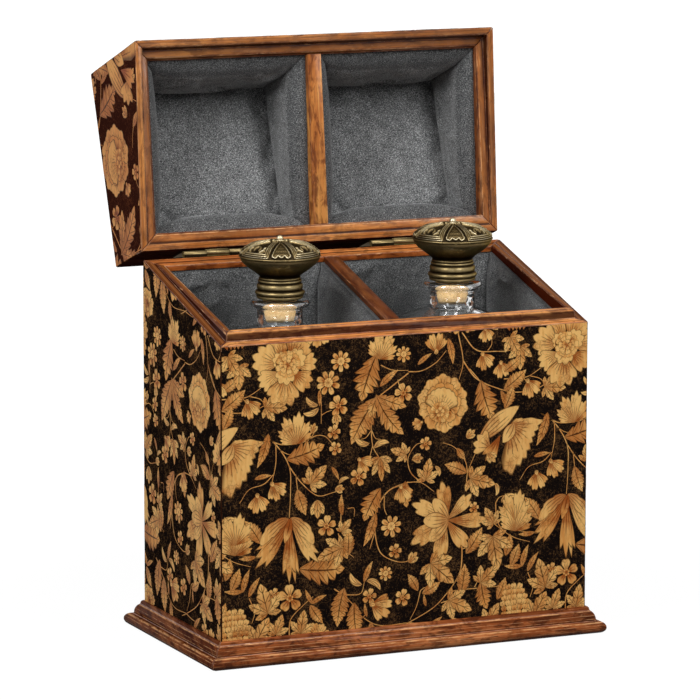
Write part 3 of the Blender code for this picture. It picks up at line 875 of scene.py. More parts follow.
def domeRelief(angle, reach):
    # Ornament on the dome, 0 to 1, repeated four times and mirrored: a ribbed palmette, then a scrolled
    # panel. "reach" runs from 0 at the boss to 1 at the rim, along the dome.
    turn = folded(angle)
    x, y = reach * np.sin(turn), reach * np.cos(turn)
    halfWidth = 0.39 * (y - 0.28)
    inside = halfWidth - x
    foot = 0.955 + 0.025 * np.cos(x * 42)
    palmette = smoothStep(inside, 0.0, 0.02) * smoothStep(foot - y, 0.0, 0.02) * smoothStep(y, 0.34, 0.38)
    border = np.maximum(np.exp(-((inside - 0.022) / 0.014) ** 2), np.exp(-((foot - y - 0.026) / 0.016) ** 2))
    ribs = 0.5 + 0.5 * np.cos(x / np.maximum(halfWidth, 0.02) * 11) * np.cos((y - x) * 60)
    relief = palmette * (0.26 + 0.74 * border + 0.40 * ribs * smoothStep(inside, 0.045, 0.07))
    # Each panel has three ridges along its sides and the rim, with a scroll round a deep eye inside.
    gap = (x - halfWidth) * 0.93 - 0.05
    frame = np.minimum(gap, 1.0 - reach)
    panel = smoothStep(gap, 0.0, 0.02) * smoothStep(reach, 0.24, 0.30)
    lines = sum(np.exp(-((frame - inset) / 0.011) ** 2) for inset in (0.022, 0.062, 0.102))
    within = smoothStep(frame, 0.12, 0.15)
    eye = (0.54, 0.54)
    sweep = np.linspace(0, 1, 30)
    spiral = []
    for s in sweep:
        way = 2.2 + 6.6 * s
        along, aside = (0.07 + 0.13 * s) * math.cos(way), (0.07 + 0.11 * s) * math.sin(way)
        spiral.append((eye[0] + along, eye[1] + aside))
    leaf = [(0.22 + 0.16 * s, 0.40 + 0.42 * s - 0.20 * s * s) for s in sweep]
    curl = [(0.40 + 0.08 * math.cos(4.6 * s + 0.6), 0.74 + 0.05 * math.sin(4.6 * s + 0.6)) for s in sweep]
    fleck = 0.5 + 0.5 * np.sin(x * 95 + 2.0 * np.sin(y * 40)) * np.sin(y * 88)
    inner = 0.22 * fleck
    for line, width, height in ((spiral, 0.026, 0.75), (leaf, 0.024, 0.8), (curl, 0.02, 0.7)):
        inner = np.maximum(inner, height * np.exp(-(nearLine(x, y, line) / width) ** 2))
    hollow = np.exp(-(np.hypot(x - eye[0], y - eye[1]) / 0.06) ** 2)
    carved = panel * (0.22 + np.clip(0.78 * lines + within * inner, 0, 0.78)) * (1 - 0.95 * hollow)
    relief = np.maximum(relief, carved)
    collar = np.exp(-((reach - 0.20) / 0.035) ** 2) * (0.7 + 0.3 * np.cos(angle * 16))
    return np.clip(np.maximum(relief, collar), 0, 1.0)


def makeStopper(hand, shape):
    rows = capRows(shape)
    segments = shape["segments"]
    angles = np.arange(segments) * 2 * math.pi / segments + math.pi / 2 + math.radians(shape["seamTurn"])
    radius = np.repeat(rows[:, :1], segments, 1)
    height = np.repeat(rows[:, 1:], segments, 1)
    capRadius, plane, rise = shape["capRadius"], shape["capPlane"], shape["domeRise"]
    share = radius / capRadius
    angle = np.repeat(angles[None], len(rows), 0)
    onDome = (height > plane - 0.0002) & (height < plane + rise + 0.0002) & (share > 0.12)
    steps = np.hypot(np.diff(rows[:, 0]), np.diff(rows[:, 1])) * onDome[1:, 0]
    reach = np.append(0, np.cumsum(steps))
    reach = 0.12 + 0.88 * reach / reach.max()
    ornament = angle + math.radians(shape["ornamentTurn"])
    relief = np.where(onDome, domeRelief(ornament, np.repeat(reach[:, None], segments, 1)), 0.5)
    # The ornament is cut square to the dome's own slope.
    slant = np.stack([radius / capRadius ** 2, (height - plane) / rise ** 2])
    slant = slant / np.maximum(np.hypot(*slant), 1e-9)
    sunk = np.where(onDome, (relief - 1.0) * shape["reliefDepth"] * smoothStep(share, 0.10, 0.16), 0)
    # The scrolled panels stand a little fuller than the palmettes between them.
    turn = folded(ornament)
    full = smoothStep(turn, 0.30, 0.62) * smoothStep(share, 0.35, 0.7) * (1 - smoothStep(share, 0.93, 1.0))
    sunk = sunk + np.where(onDome, full * shape["panelRise"], 0)
    out = radius + sunk * slant[0] * 0.6
    rings = np.stack([out * np.cos(angle), out * np.sin(angle), height + sunk * slant[1]], 2)
    # Wear: ridges are rubbed pale, hollows stay dark.
    outline = rows[:, 0]
    swell = outline - np.convolve(np.pad(outline, 5, mode="edge"), np.ones(11) / 11, "valid")
    lowerWear = np.clip(0.35 + swell[:, None] * 700, 0.02, 0.60) + np.zeros_like(share)
    rubbed = 0.05 + 0.32 * smoothStep(relief, 0.15, 0.6) + 0.52 * smoothStep(relief, 0.66, 1.0)
    wear = np.where(onDome, rubbed, lowerWear)
    wear = np.where(share < 0.10, 0.8, wear)
    lip = lips[hand]
    mesh = skin(rings + np.array(lip))
    addValues(mesh, "wear", np.append(wear.ravel(), (0.9, 0.2)))
    name = f"stopper_cap_{hand}"
    settle(f"{name}_chased", mesh, f"stopper_{hand}", (looks["brass"],), (name,))


corkShape = {
    "segments": 96, "radius": 0.0120, "depth": 0.0108, "taper": 0.0014, "chamfer": 0.0025, "top": 0.0022,
    "hole": 0.0038, "floor": -0.0058
}


def makeCorkPiece(hand, shape):
    radius, depth, chamfer, top, hole = (shape[key] for key in ("radius", "depth", "chamfer", "top", "hole"))
    foot, footTop = radius - shape["taper"], chamfer - depth
    profile = (
        (onAxis, -depth), (radius - chamfer - 0.0004, -depth), (radius - chamfer + 0.0002, -depth + 0.0003),
        (foot - 0.0004, footTop - 0.0004), (foot, footTop), (foot + 0.0001, footTop + 0.003),
        (radius - 0.0001, top - 0.003), (radius, top - 0.0004), (radius - 0.0004, top), (hole + 0.0003, top),
        (hole, top - 0.0003), (hole, shape["floor"]), (onAxis, shape["floor"]),
    )
    mesh = skin(loft([(r, r, h, 2) for r, h in profile], shape["segments"]) + np.array(lips[hand]))
    settle(f"cork_{hand}_cut", mesh, f"stopper_{hand}", (looks["cork"],), (f"cork_{hand}",))


for hand in hands:
    makeStopper(hand, stopperShape)
    makeCorkPiece(hand, corkShape)
print("stoppers turned")

# Felt pads

padWork = {
    "spacing": 0.0022,  # between the threads of the simulated felt
    "edgeFade": 0.011,  # from a pad's edge to where it may puff fully
    "frames": 14,
    "cloth": {
        "quality": 4, "mass": 0.12, "tension_stiffness": 18, "compression_stiffness": 18,
        "shear_stiffness": 8, "bending_stiffness": 0.6, "use_pressure": True, "uniform_pressure_force": 0.35,
        "shrink_min": -0.10,  # less than nothing: the felt grows
    },
    "most": 0.0017,  # that the felt may rise above the pad's form, and sink below it
    "least": 0.0015,
    "backEdge": 0.0004,
    "steep": 0.42,  # the slope from which felt is held down
    "heldBelow": 0.02,  # the freedom under which a point is pinned
    "rayStart": 0.06,  # from the wall, where a pad's form is felt for
    "rayInset": 0.004,  # towards the pad's middle, so that no ray slips past its edge
    "chunk": 2000,
    "ripple": 0.0003,  # of the felt before it is puffed
    "quickRipple": 0.0004,
}
walls = {
    # side: (the way out of the wall, across, upward), with the lid shut
    "front": ((0, 1, 0), (1, 0, 0), (0, 0, 1)),
    "back": ((0, -1, 0), (1, 0, 0), (0, 0, 1)),
    "left": ((1, 0, 0), (0, 1, 0), (0, 0, 1)),
    "right": ((-1, 0, 0), (0, 1, 0), (0, 0, 1)),
    "floor": ((0, 0, 1), (1, 0, 0), (0, 1, 0)),
    "top": ((0, 0, -1), (1, 0, 0), (0, 1, 0)),
}


def padForm(node, work):
    # The solid pad's face as a grid: its four corners, and its height off the wall at each point.
    bm = looseCopy(node)
    if nodeBody[node] == "lid":
        bm.transform(shut)
    out, across, upward = (np.array(v, float) for v in walls[node.split("_")[2]])
    co = np.array([v.co for v in bm.verts])
    wall = (co @ out).min()
    flat = np.stack([co @ across, co @ upward], 1)
    corners = [flat[np.argmax(flat @ np.array(way))] for way in ((-1, -1), (1, -1), (1, 1), (-1, 1))]
    tree = BVHTree.FromBMesh(bm)
    bm.free()
    wide = np.linalg.norm(corners[1] - corners[0])
    tall = max(np.linalg.norm(corners[3] - corners[0]), np.linalg.norm(corners[2] - corners[1]))
    columns, rows = max(8, round(wide / work["spacing"])), max(8, round(tall / work["spacing"]))
    s, t = np.meshgrid(np.linspace(0, 1, columns + 1), np.linspace(0, 1, rows + 1))
    s, t = s[..., None], t[..., None]
    plan = (1 - t) * ((1 - s) * corners[0] + s * corners[1]) + t * ((1 - s) * corners[3] + s * corners[2])
    centre = plan.reshape(-1, 2).mean(0)
    rise = np.zeros(plan.shape[:2])
    for row in range(rows + 1):
        for column in range(columns + 1):
            spot = plan[row, column] + (centre - plan[row, column]) * work["rayInset"]
            start = across * spot[0] + upward * spot[1] + out * (wall + work["rayStart"])
            hit = tree.ray_cast(Vector(start), Vector(-out))[0]
            rise[row, column] = max(work["backEdge"], (np.array(hit) @ out - wall) if hit else 0)
    return out, across, upward, wall, plan, rise


def freedom(plan, rise, work):
    # 0 at the edges and on the mitred ends, 1 where the felt is free.
    step = np.abs(np.gradient(rise, axis=1)) + np.abs(np.gradient(rise, axis=0))
    held = step > work["spacing"] * work["steep"]
    held[0, :] = held[-1, :] = True
    held[:, 0] = held[:, -1] = True
    spots = plan[held]
    flat = plan.reshape(-1, 2)
    away = np.full(len(flat), 9.0)
    for start in range(0, len(flat), work["chunk"]):
        part = slice(start, start + work["chunk"])
        away[part] = np.sqrt(((flat[part][:, None] - spots[None]) ** 2).sum(2)).min(1)
    return smoothStep(away.reshape(rise.shape), 0, work["edgeFade"])


def simulate(co, faces, held, work):
    # The felt grows a little between its held edges, so it puffs and puckers.
    mesh = bpy.data.meshes.new("felt")
    mesh.from_pydata(co.tolist(), [], faces)
    cloth = linked("felt", mesh)
    pins = cloth.vertex_groups.new(name="held")
    pins.add(np.flatnonzero(held).tolist(), 1.0, "REPLACE")
    puffing = cloth.modifiers.new("felt", "CLOTH")
    for key, value in work["cloth"].items():
        setattr(puffing.settings, key, value)
    puffing.settings.vertex_group_mass = "held"
    puffing.settings.effector_weights.gravity = 0
    puffing.collision_settings.use_collision = False
    puffing.point_cache.frame_start = 1
    puffing.point_cache.frame_end = work["frames"]
    for frameNumber in range(1, work["frames"] + 1):
        scene.frame_set(frameNumber)
    mesh = baked(cloth)
    scene.frame_set(1)
    moved = points(mesh)
    bpy.data.meshes.remove(mesh)
    return moved


def gridFaces(rows, columns, start=0):
    faces = []
    for row in range(rows - 1):
        for column in range(columns - 1):
            corner = start + row * columns + column
            faces.append((corner, corner + 1, corner + columns + 1, corner + columns))
    return faces


def wave(plan, rng):
    height = rng.uniform(0.2, 1)
    across = plan[..., 0] * rng.uniform(60, 260) * rng.choice((-1, 1))
    return height * np.sin(across + plan[..., 1] * rng.uniform(60, 260) + rng.uniform(0, 6))


def stuff(nodes, work):
    # All the pads are simulated in one go, then made into closed cushions.
    forms, sheets, faces, held, count = [], [], [], [], 0
    rng = np.random.default_rng(11)
    for node in nodes:
        out, across, upward, wall, plan, rise = padForm(node, work)
        free = freedom(plan, rise, work)
        rows, columns = rise.shape
        waves = sum(wave(plan, rng) for _ in range(5))
        lifted = rise + free * work["ripple"] * waves
        sheet = plan[..., :1] * across + plan[..., 1:] * upward + (wall + lifted)[..., None] * out
        forms.append((node, out, across, upward, wall, plan, rise, free, count, waves))
        sheets.append(sheet.reshape(-1, 3))
        faces += gridFaces(rows, columns, count)
        held.append(free.ravel() < work["heldBelow"])
        count += rows * columns
    sheets = np.concatenate(sheets)
    moved = simulate(sheets, faces, np.concatenate(held), work)
    for node, out, across, upward, wall, plan, rise, free, start, waves in forms:
        rows, columns = rise.shape
        part = slice(start, start + rows * columns)
        lift = ((moved[part] - sheets[part]) @ out).reshape(rows, columns)
        felt = rise + free * np.clip(lift, -work["least"], work["most"])
        makePad(node, out, across, upward, wall, plan, felt, free)


def makePad(node, out, across, upward, wall, plan, felt, free):
    rows, columns = felt.shape
    face = plan[..., :1] * across + plan[..., 1:] * upward + (wall + felt)[..., None] * out
    co = face.reshape(-1, 3).tolist()
    faces = gridFaces(rows, columns)
    rim = [(0, c) for c in range(columns)] + [(r, columns - 1) for r in range(1, rows)]
    rim += [(rows - 1, c) for c in range(columns - 2, -1, -1)] + [(r, 0) for r in range(rows - 2, 0, -1)]
    back = len(co)
    for x, y in [*(plan[r, c] for r, c in rim), plan.reshape(-1, 2).mean(0)]:
        co.append((x * across + y * upward + wall * out).tolist())
    for step, (r, c) in enumerate(rim):
        after = (step + 1) % len(rim)
        r2, c2 = rim[after]
        faces.append((r * columns + c, r2 * columns + c2, back + after, back + step))
        faces.append((back + step, back + after, len(co) - 1))
    mesh = bpy.data.meshes.new(node)
    mesh.from_pydata(co, [], faces)
    outward(mesh)
    mesh.shade_smooth()
    if nodeBody[node] == "lid":
        mesh.transform(opened)
    mesh.set_sharp_from_angle(angle=math.radians(60))
    # The felt's freedom, 0 at its held edges, where the felt finish paints shade.
    addValues(mesh, "seam", np.append(free.ravel(), np.zeros(len(mesh.vertices) - free.size)))
    # The lid's pads take the lighter felt and the case's the darker: painted light and shade.
    felt = looks["lidFelt" if nodeBody[node] == "lid" else "caseFelt"]
    pad = settle(f"{node}_stuffed", mesh, nodeBody[node], (felt,), (node,))


stuff(sorted(node for node in nodeBody if "_pad_" in node), padWork)
print("pads stuffed")

# Marquetry: flowers, leaves and stems of pale wood let into the dark ground

inlayWork = {
    "tile": (213.7, 214.0),  # millimetres, after which the pattern repeats
    "groundProud": 0.00010,
    "stemLift": 0.000012,
    "motifLift": 0.000030,
    "layerLift": 0.000012,
    "spotLift": 0.0000013,
    "spotCycle": 53,  # spots before the lift starts again
    "stemSteps": 7,
    "stemStep": 0.0016,
    "stemThin": 0.00030,  # half the width that the shortest stem starts with
    "stemGain": 0.0022,
    "stemLong": 0.09,
    "stemTaper": 0.55,
    "groundSunk": 0.00003,
    "margin": 0.0006,  # between the veneer's edge and the corner of the case
}


def makeInlayWood(name, paleTones, scorchTone):
    # Pale wood, scorched at the foot of each petal, with engraved veins. u runs along it, v across.
    inlay = Finish(name)
    uv = inlay.node("ShaderNodeUVMap", {"uv_map": "petal"})
    u = inlay.node("ShaderNodeSeparateXYZ", None, {0: uv}, out=0)
    v = inlay.node("ShaderNodeSeparateXYZ", None, {0: uv}, out=1)
    place = inlay.position()
    wobble = inlay.noise(place, 240, 2) - 0.5
    across = abs(v - 0.5) * 2
    ribs = inlay.attribute("ribs")
    fan = inlay.attribute("fan")
    tint = inlay.attribute("tint")
    isLeaf = inlay.maths("GREATER_THAN", ribs, 0.5)
    isFan = inlay.maths("GREATER_THAN", fan, 0.5)
    wave = abs(inlay.maths("FRACT", u * ribs - across * 0.72 + wobble * 0.2) - 0.5)
    nick = inlay.between(abs(inlay.maths("FRACT", u * ribs) - 0.5), 0.42, 0.47)
    notch = nick * inlay.between(across, 0.5, 0.62) * isLeaf
    sideVein = inlay.between(wave, 0.41, 0.47) * inlay.between(1 - across, 0.04, 0.2) * isLeaf
    midLine = 1 - inlay.between(across + wobble * 0.1, 0.03, 0.10)
    midVein = midLine * inlay.between(1 - u, 0.02, 0.14) * isLeaf
    ray = abs(inlay.maths("FRACT", (v + wobble * 0.05) * fan) - 0.5)
    fade = inlay.between(0.74 - u + wobble * 0.7, 0.0, 0.24) * isFan
    rays = inlay.between(ray, 0.38, 0.47) * fade
    rim = inlay.between(across, 0.86, 0.97) + inlay.between(u, 0.945, 0.985) * isFan
    vein = inlay.maths("MINIMUM", sideVein * 0.8 + midVein + rays * 0.85 + rim * 0.85 + notch * 0.7, 1.0)
    halo = inlay.between(wave, 0.30, 0.48) * isLeaf + inlay.between(ray, 0.2, 0.47) * fade
    grain = inlay.noise(inlay.stretched(place, (420, 420, 90)), 1.0, 4, 0.6)
    cloud = inlay.noise(place, 70, 3)
    crack = 1 - inlay.between(inlay.cells(place, 330, "DISTANCE_TO_EDGE"), 0.02, 0.08)
    foot = 1 - inlay.between(u + wobble * 0.35 - tint * 0.22, 0.02, 0.62)
    scorch = foot * 0.95 + inlay.between(cloud, 0.50, 0.70) * 0.5
    scorch = scorch + halo * 0.32 + inlay.between(across, 0.55, 1.0) * 0.25
    scorch = inlay.maths("MINIMUM", scorch, 1.0)
    pale = inlay.mixed(
        inlay.between(grain + (1 - tint) * 0.3, 0.35, 0.85), tone(*paleTones[0]), tone(*paleTones[1])
    )
    colour = inlay.mixed(scorch * (0.6 + tint * 0.35) * (1 - isLeaf * 0.38), pale, tone(*scorchTone))
    colour = inlay.mixed(crack * inlay.between(cloud, 0.46, 0.60) * 0.45, colour, tone(120, 66, 28))
    colour = inlay.mixed(vein * 0.92, colour, tone(58, 26, 10))
    return inlay.surface({
        "Base Color": colour,
        "Roughness": grain * 0.15 + 0.36,
        "Specular IOR Level": 0.04,
        "Normal": inlay.relief(grain - vein * 0.6, 0.2, 0.00008),
    })


looks["inlay"] = makeInlayWood("inlay_wood", ((222, 152, 78), (247, 196, 118)), (160, 78, 28))
looks["redInlay"] = makeInlayWood("red_inlay_wood", ((202, 126, 66), (232, 168, 98)), (146, 68, 30))
petals = np.random.default_rng(7)


class Motif:
    # One flower or leaf, a unit long, drawn flat from petals that lie over each other.
    patchLift = 0.0137  # of each petal over the one before, in layers

    def __init__(self, name):
        self.name = name
        self.patches = 0
        self.co, self.faces, self.uv, self.ribs, self.fan, self.tint = [], [], [], [], [], []

    def patch(self, foot, turn, steps, spot, layer, ribs, fan, tint, bend):
        # A grid of faces. "spot" gives how far along and aside each u and v lies.
        long, wide = steps
        start = len(self.co)
        layer += self.patchLift * self.patches
        self.patches += 1
        angle = math.radians(turn)
        cos, sin = math.cos(angle), math.sin(angle)
        tint = petals.uniform(0, 1) if tint is None else tint
        for i in range(long + 1):
            for j in range(wide + 1):
                u, v = i / long, j / wide * 2 - 1
                x, y = spot(u, v)
                if bend:
                    swing = bend * x
                    x, y = (1 / bend - y) * math.sin(swing), 1 / bend - (1 / bend - y) * math.cos(swing)
                self.co.append((foot[0] + x * cos - y * sin, foot[1] + x * sin + y * cos, layer))
                self.uv.append((u, v / 2 + 0.5))
        count = len(self.co) - start
        self.ribs += [ribs] * count
        self.fan += [fan] * count
        self.tint += [tint] * count
        columns = wide + 1
        for i in range(long):
            for j in range(wide):
                corner = start + i * columns + j
                self.faces.append((corner, corner + columns, corner + columns + 1, corner + 1))

    def leaf(
        self, foot, turn, length, width, layer=0.0, widest=0.42, tip=1.0, teeth=0, depth=0.0, lean=0.0,
        bend=0.0, ribs=0, fan=0, *, steps, tint=None
    ):
        # Pointed at both ends, with forward teeth where asked.
        def spot(u, v):
            if u < widest:
                half = math.sin(math.pi / 2 * u / widest) ** 0.7
            else:
                half = max(0.0, math.cos(math.pi / 2 * (u - widest) / (1 - widest))) ** tip
            if teeth:
                part = u * teeth % 1.0
                rise = part / 0.7 if part < 0.7 else (1 - part) / 0.3
                half *= 1 - depth * (1 - rise ** 0.6) * min(1.0, 4 * u)
            return length * (u + lean * abs(v) * half * (1 - u)), v * half * width / 2

        self.patch(foot, turn, steps, spot, layer, ribs, fan, tint, bend)

    def petal(
        self, foot, turn, length, span, layer, lobes, depth, sharp=0.5, droop=0.25, bend=0.0, fan=0, *, steps,
        tint=None, radii=None
    ):
        # Spreads from its foot by "span" degrees and ends in lobes, or as far as "radii" say.
        def spot(u, v):
            part = (v + 1) / 2 * lobes % 1.0
            reach = 1 - droop * v * v
            if radii:
                reach = np.interp(v, np.linspace(-1, 1, len(radii)), radii)
            reach *= 1 - depth * (1 - (1 - abs(2 * part - 1)) ** sharp)
            way = math.radians(span / 2 * v)
            return length * u * reach * math.cos(way), length * u * reach * math.sin(way)

        self.patch(foot, turn, steps, spot, layer, 0, fan, tint, bend)

    def ring(self, count, radius, length, span, layer, centre=(0, 0), shift=0.0, stretch=(1, 1), **shape):
        for step in range(count):
            turn = 360 * (step + shift) / count
            side = (stretch[0] * math.cos(math.radians(turn)), stretch[1] * math.sin(math.radians(turn)))
            foot = (centre[0] + radius * side[0], centre[1] + radius * side[1])
            turned = turn + petals.uniform(-5, 5)
            long = length * math.hypot(*side) * petals.uniform(0.92, 1.06)
            self.petal(foot, turned, long, span, layer + 1.6 * step / count, **shape)

    def mesh(self):
        mesh = bpy.data.meshes.new(self.name)
        mesh.from_pydata(self.co, [], self.faces)
        layer = mesh.uv_layers.new(name="petal")
        corners = np.array([self.uv[loop.vertex_index] for loop in mesh.loops])
        layer.data.foreach_set("uv", corners.ravel())
        for name in ("ribs", "fan", "tint"):
            addValues(mesh, name, getattr(self, name))
        return mesh


def makeBank(name, pieces):
    # A collection of what is to be scattered.
    bank = bpy.data.collections.new(name)
    scene.collection.children.link(bank)
    for label, mesh in pieces:
        bank.objects.link(bpy.data.objects.new(label, mesh))
    return bank


def dropBank(bank):
    for piece in list(bank.objects):
        bpy.data.objects.remove(piece)
    bpy.data.collections.remove(bank)


def drawMotifs():
    drawn = []

    def begin(name):
        drawn.append(Motif(name))
        return drawn[-1]

    m = begin("bell")
    for turn, layer, long in ((-40, 0, 0.72), (40, 1, 0.72), (-14, 2, 0.86), (16, 3, 0.84)):
        m.petal((-0.42, 0), turn, long, 34, layer, 2, 0.14, 0.8, 0.35, fan=3, steps=(4, 8))
    m.leaf((-0.5, 0), 0, 0.24, 0.2, 5, ribs=1, steps=(4, 2))
    m = begin("bloom")
    m.ring(5, 0.02, 0.46, 66, 0, lobes=2, depth=0.10, fan=3, droop=0.3, steps=(4, 8))
    m.ring(6, 0.0, 0.13, 60, 4, lobes=1, depth=0.0, droop=0.4, fan=1, steps=(2, 5), tint=1.0)
    m = begin("bud")
    for turn, layer, long in ((-24, 0, 0.8), (24, 1, 0.8), (0, 2, 0.95)):
        m.leaf((-0.45, 0), turn, long, 0.40, layer, 0.55, 0.7, ribs=2, steps=(7, 3))
    m = begin("cone")
    m.petal((-0.5, 0), 0, 0.96, 46, 0, 7, 0.12, 0.6, 0.3, fan=7, steps=(5, 28))
    for row in range(8):
        tip = 0.44 - row * 0.115
        span = 0.27 * math.sqrt(max(0.02, 1 - ((tip + 0.02) / 0.50) ** 2))
        count = 3 if row == 0 else 5
        for step in range(count):
            way = (step - (count - 1) / 2) / ((count - 1) / 2)
            foot = (tip - 0.19, way * span * 0.8 + 0.02 * (row % 2))
            m.petal(
                foot, way * (26 - row * 2) + petals.uniform(-6, 6), 0.19, 62, 1 + row * 1.2 + 0.2 * step, 2,
                0.12, fan=2, steps=(3, 8)
            )
    m = begin("crescent")
    m.leaf((-0.45, -0.12), 38, 1.0, 0.34, tip=0.8, bend=-1.5, ribs=1, steps=(10, 3))
    m = begin("daisy")
    m.ring(8, 0.05, 0.44, 50, 0, lobes=2, depth=0.06, droop=0.45, fan=2, steps=(4, 6))
    m.ring(9, 0.0, 0.17, 44, 2, lobes=1, depth=0.0, droop=0.1, steps=(2, 3), tint=0.0)
    m = begin("fan")
    for turn, layer, long in (
        (-66, 0, 0.56), (64, 1, 0.54), (-42, 2, 0.74), (44, 3, 0.72), (-14, 4, 0.94), (17, 5, 0.90)
    ):
        m.petal((-0.42, 0), turn, long, 33, layer, 3, 0.15, 0.9, 0.28, fan=3, steps=(4, 12))
    m = begin("lance")
    m.leaf((-0.48, -0.04), 10, 1.0, 0.30, 0, 0.42, teeth=5, depth=0.12, bend=-0.35, ribs=5, steps=(15, 3))
    m = begin("lily")
    for turn, layer, long, span in (
        (18, 1, 0.50, 40), (72, 2, 0.54, 38), (128, 0, 0.56, 44), (178, 1, 0.52, 40), (228, 2, 0.48, 42),
        (276, 0, 0.56, 36), (322, 1, 0.46, 38)
    ):
        m.petal((0.0, 0.0), turn, long, span, layer, 3, 0.16, 0.75, 0.42, bend=0.4, fan=6, steps=(5, 15))
    for turn, layer, long, wide in ((52, 3, 0.34, 0.17), (150, 4, 0.36, 0.18), (104, 5, 0.34, 0.20)):
        m.leaf((0.01, -0.02), turn, long, wide, layer, 0.55, 0.6, fan=4, steps=(9, 4), tint=0.1)
    m = begin("oak")
    m.leaf(
        (-0.5, 0), 0, 1.0, 0.66, 0, 0.40, 0.9, teeth=5, depth=0.52, lean=0.24, bend=0.3, ribs=5, steps=(30, 6)
    )
    m = begin("peony")
    for turn, layer, long, span in (
        (8, 0, 0.34, 96), (58, 1, 0.40, 104), (112, 0.5, 0.33, 92), (160, 2, 0.42, 108), (212, 3, 0.36, 90),
        (262, 4, 0.46, 104), (318, 2.5, 0.35, 96)
    ):
        foot = (0.12 * math.cos(math.radians(turn)), 0.12 * math.sin(math.radians(turn)))
        m.petal(foot, turn, long, span, layer, 5, 0.16, 0.7, 0.32, fan=9, steps=(5, 30))
    for turn, layer, long, span in ((30, 4.6, 0.30, 92), (150, 4.9, 0.26, 84), (255, 5.2, 0.30, 96)):
        m.petal((0.02, 0.03), turn, long, span, layer, 4, 0.16, 0.7, 0.3, fan=5, steps=(4, 20), tint=0.0)
    m.petal((0.02, 0.03), 0, 0.19, 359, 5.5, 12, 0.08, 0.5, 0, steps=(3, 48), tint=1.0)
    m.ring(9, 0.06, 0.135, 58, 6, centre=(0.02, 0.03), lobes=2, depth=0.14, fan=3, steps=(3, 8))
    m.ring(7, 0.025, 0.115, 62, 8, centre=(0.02, 0.03), shift=0.4, lobes=2, depth=0.14, fan=2, steps=(3, 6))
    m.ring(5, 0.0, 0.08, 70, 10, centre=(0.02, 0.03), lobes=2, depth=0.14, fan=1, steps=(2, 6))
    m = begin("peonySmall")
    m.ring(7, 0.04, 0.44, 62, 0, lobes=3, depth=0.13, fan=4, steps=(4, 12))
    m.ring(5, 0.02, 0.25, 76, 3, shift=0.5, lobes=3, depth=0.12, fan=3, steps=(3, 9))
    m = begin("round")
    m.ring(10, 0.20, 0.30, 100, 0, stretch=(0.9, 1), lobes=3, depth=0.10, fan=5, steps=(4, 12))
    m.ring(
        11, 0.10, 0.26, 62, 3, stretch=(0.9, 1), shift=0.5, lobes=2, depth=0.07, fan=3, steps=(3, 8), tint=1.0
    )
    m.petal((-0.10, -0.14), 62, 0.44, 130, 6, 9, 0.05, 0.6, 0.25, fan=12, steps=(4, 27), tint=0.0)
    m.petal((-0.10, -0.12), 0, 0.17, 359, 7.5, 12, 0.08, 0.5, 0, steps=(3, 36), tint=1.0)
    m.ring(8, 0.07, 0.12, 60, 8, centre=(-0.10, -0.12), lobes=2, depth=0.12, fan=2, steps=(3, 6))
    m.ring(5, 0.0, 0.09, 70, 10, centre=(-0.10, -0.12), lobes=2, depth=0.12, fan=1, steps=(2, 6))
    m = begin("serrate")
    m.leaf((-0.5, 0), 0, 1.0, 0.54, 0, 0.40, teeth=7, depth=0.30, lean=0.14, bend=0.25, ribs=7, steps=(28, 4))
    m = begin("star")
    for turn, layer, long in ((-70, 0, 0.5), (66, 1, 0.52), (-30, 2, 0.74), (28, 3, 0.74), (0, 4, 0.92)):
        m.leaf((-0.4, 0), turn, long, 0.26, layer, 0.55, 0.8, ribs=3, steps=(8, 3))
    m = begin("tulip")
    m.petal((-0.34, 0.0), -34, 0.66, 22, 0, 3, 0.20, 1.0, 0.2, bend=-0.5, fan=4, steps=(8, 12), tint=1.0)
    m.petal((-0.34, 0.0), 30, 0.60, 22, 0.5, 3, 0.20, 1.0, 0.2, bend=0.5, fan=4, steps=(8, 12), tint=1.0)
    m.petal((-0.34, 0.0), 8, 0.84, 15, 1, 3, 0.18, 1.0, 0.3, fan=3, steps=(6, 12), tint=1.0)
    m.petal((-0.36, 0.02), -26, 0.80, 23, 3, 3, 0.18, 1.0, 0.3, bend=-0.45, fan=4, steps=(8, 12))
    m.petal((-0.36, 0.02), 24, 0.74, 23, 3.5, 3, 0.18, 1.0, 0.3, bend=0.5, fan=4, steps=(8, 12))
    m.petal((-0.36, 0.02), -2, 0.86, 21, 4, 3, 0.20, 1.0, 0.35, bend=0.12, fan=4, steps=(8, 12))
    m.leaf((-0.36, 0.02), 58, 0.50, 0.19, 5, 0.5, 0.8, teeth=3, depth=0.22, bend=-1.1, fan=4, steps=(12, 4))
    m.leaf((-0.35, 0.0), -70, 0.52, 0.19, 6, 0.5, 0.7, teeth=3, depth=0.22, bend=1.5, fan=4, steps=(12, 4))
    m.leaf((-0.36, 0.02), -8, 0.34, 0.12, 7, 0.5, bend=-0.4, fan=2, steps=(8, 3), tint=1.0)
    m = begin("vine")
    for turn, layer, long in ((-98, 0, 0.42), (98, 1, 0.42), (-50, 2, 0.66), (50, 3, 0.66), (0, 4, 0.92)):
        m.leaf(
            (-0.36, 0), turn, long, long * 0.52, layer, 0.5, 0.9, teeth=3, depth=0.22, lean=0.1, ribs=3,
            steps=(12, 4)
        )
    m = begin("wing")
    m.leaf((-0.40, -0.02), 44, 0.66, 0.22, 0, 0.5, 0.9, bend=-0.4, fan=5, steps=(12, 4))
    m.petal((-0.25, -0.10), 150, 0.24, 110, 1, 4, 0.20, 0.8, 0.1, fan=4, steps=(4, 16))
    m.petal((-0.12, 0.04), -118, 0.36, 44, 2, 3, 0.20, 0.9, 0.2, bend=-0.5, fan=4, steps=(5, 12), tint=1.0)
    m.petal(
        (0.0, 0.15), -30, 0.64, 150, 4, 12, 0.10, 0.9, 0, fan=13, steps=(8, 48),
        radii=(0.72, 1.0, 0.84, 0.76, 0.66, 0.60, 0.58, 0.62, 0.72, 0.34, 0.22, 0.16)
    )
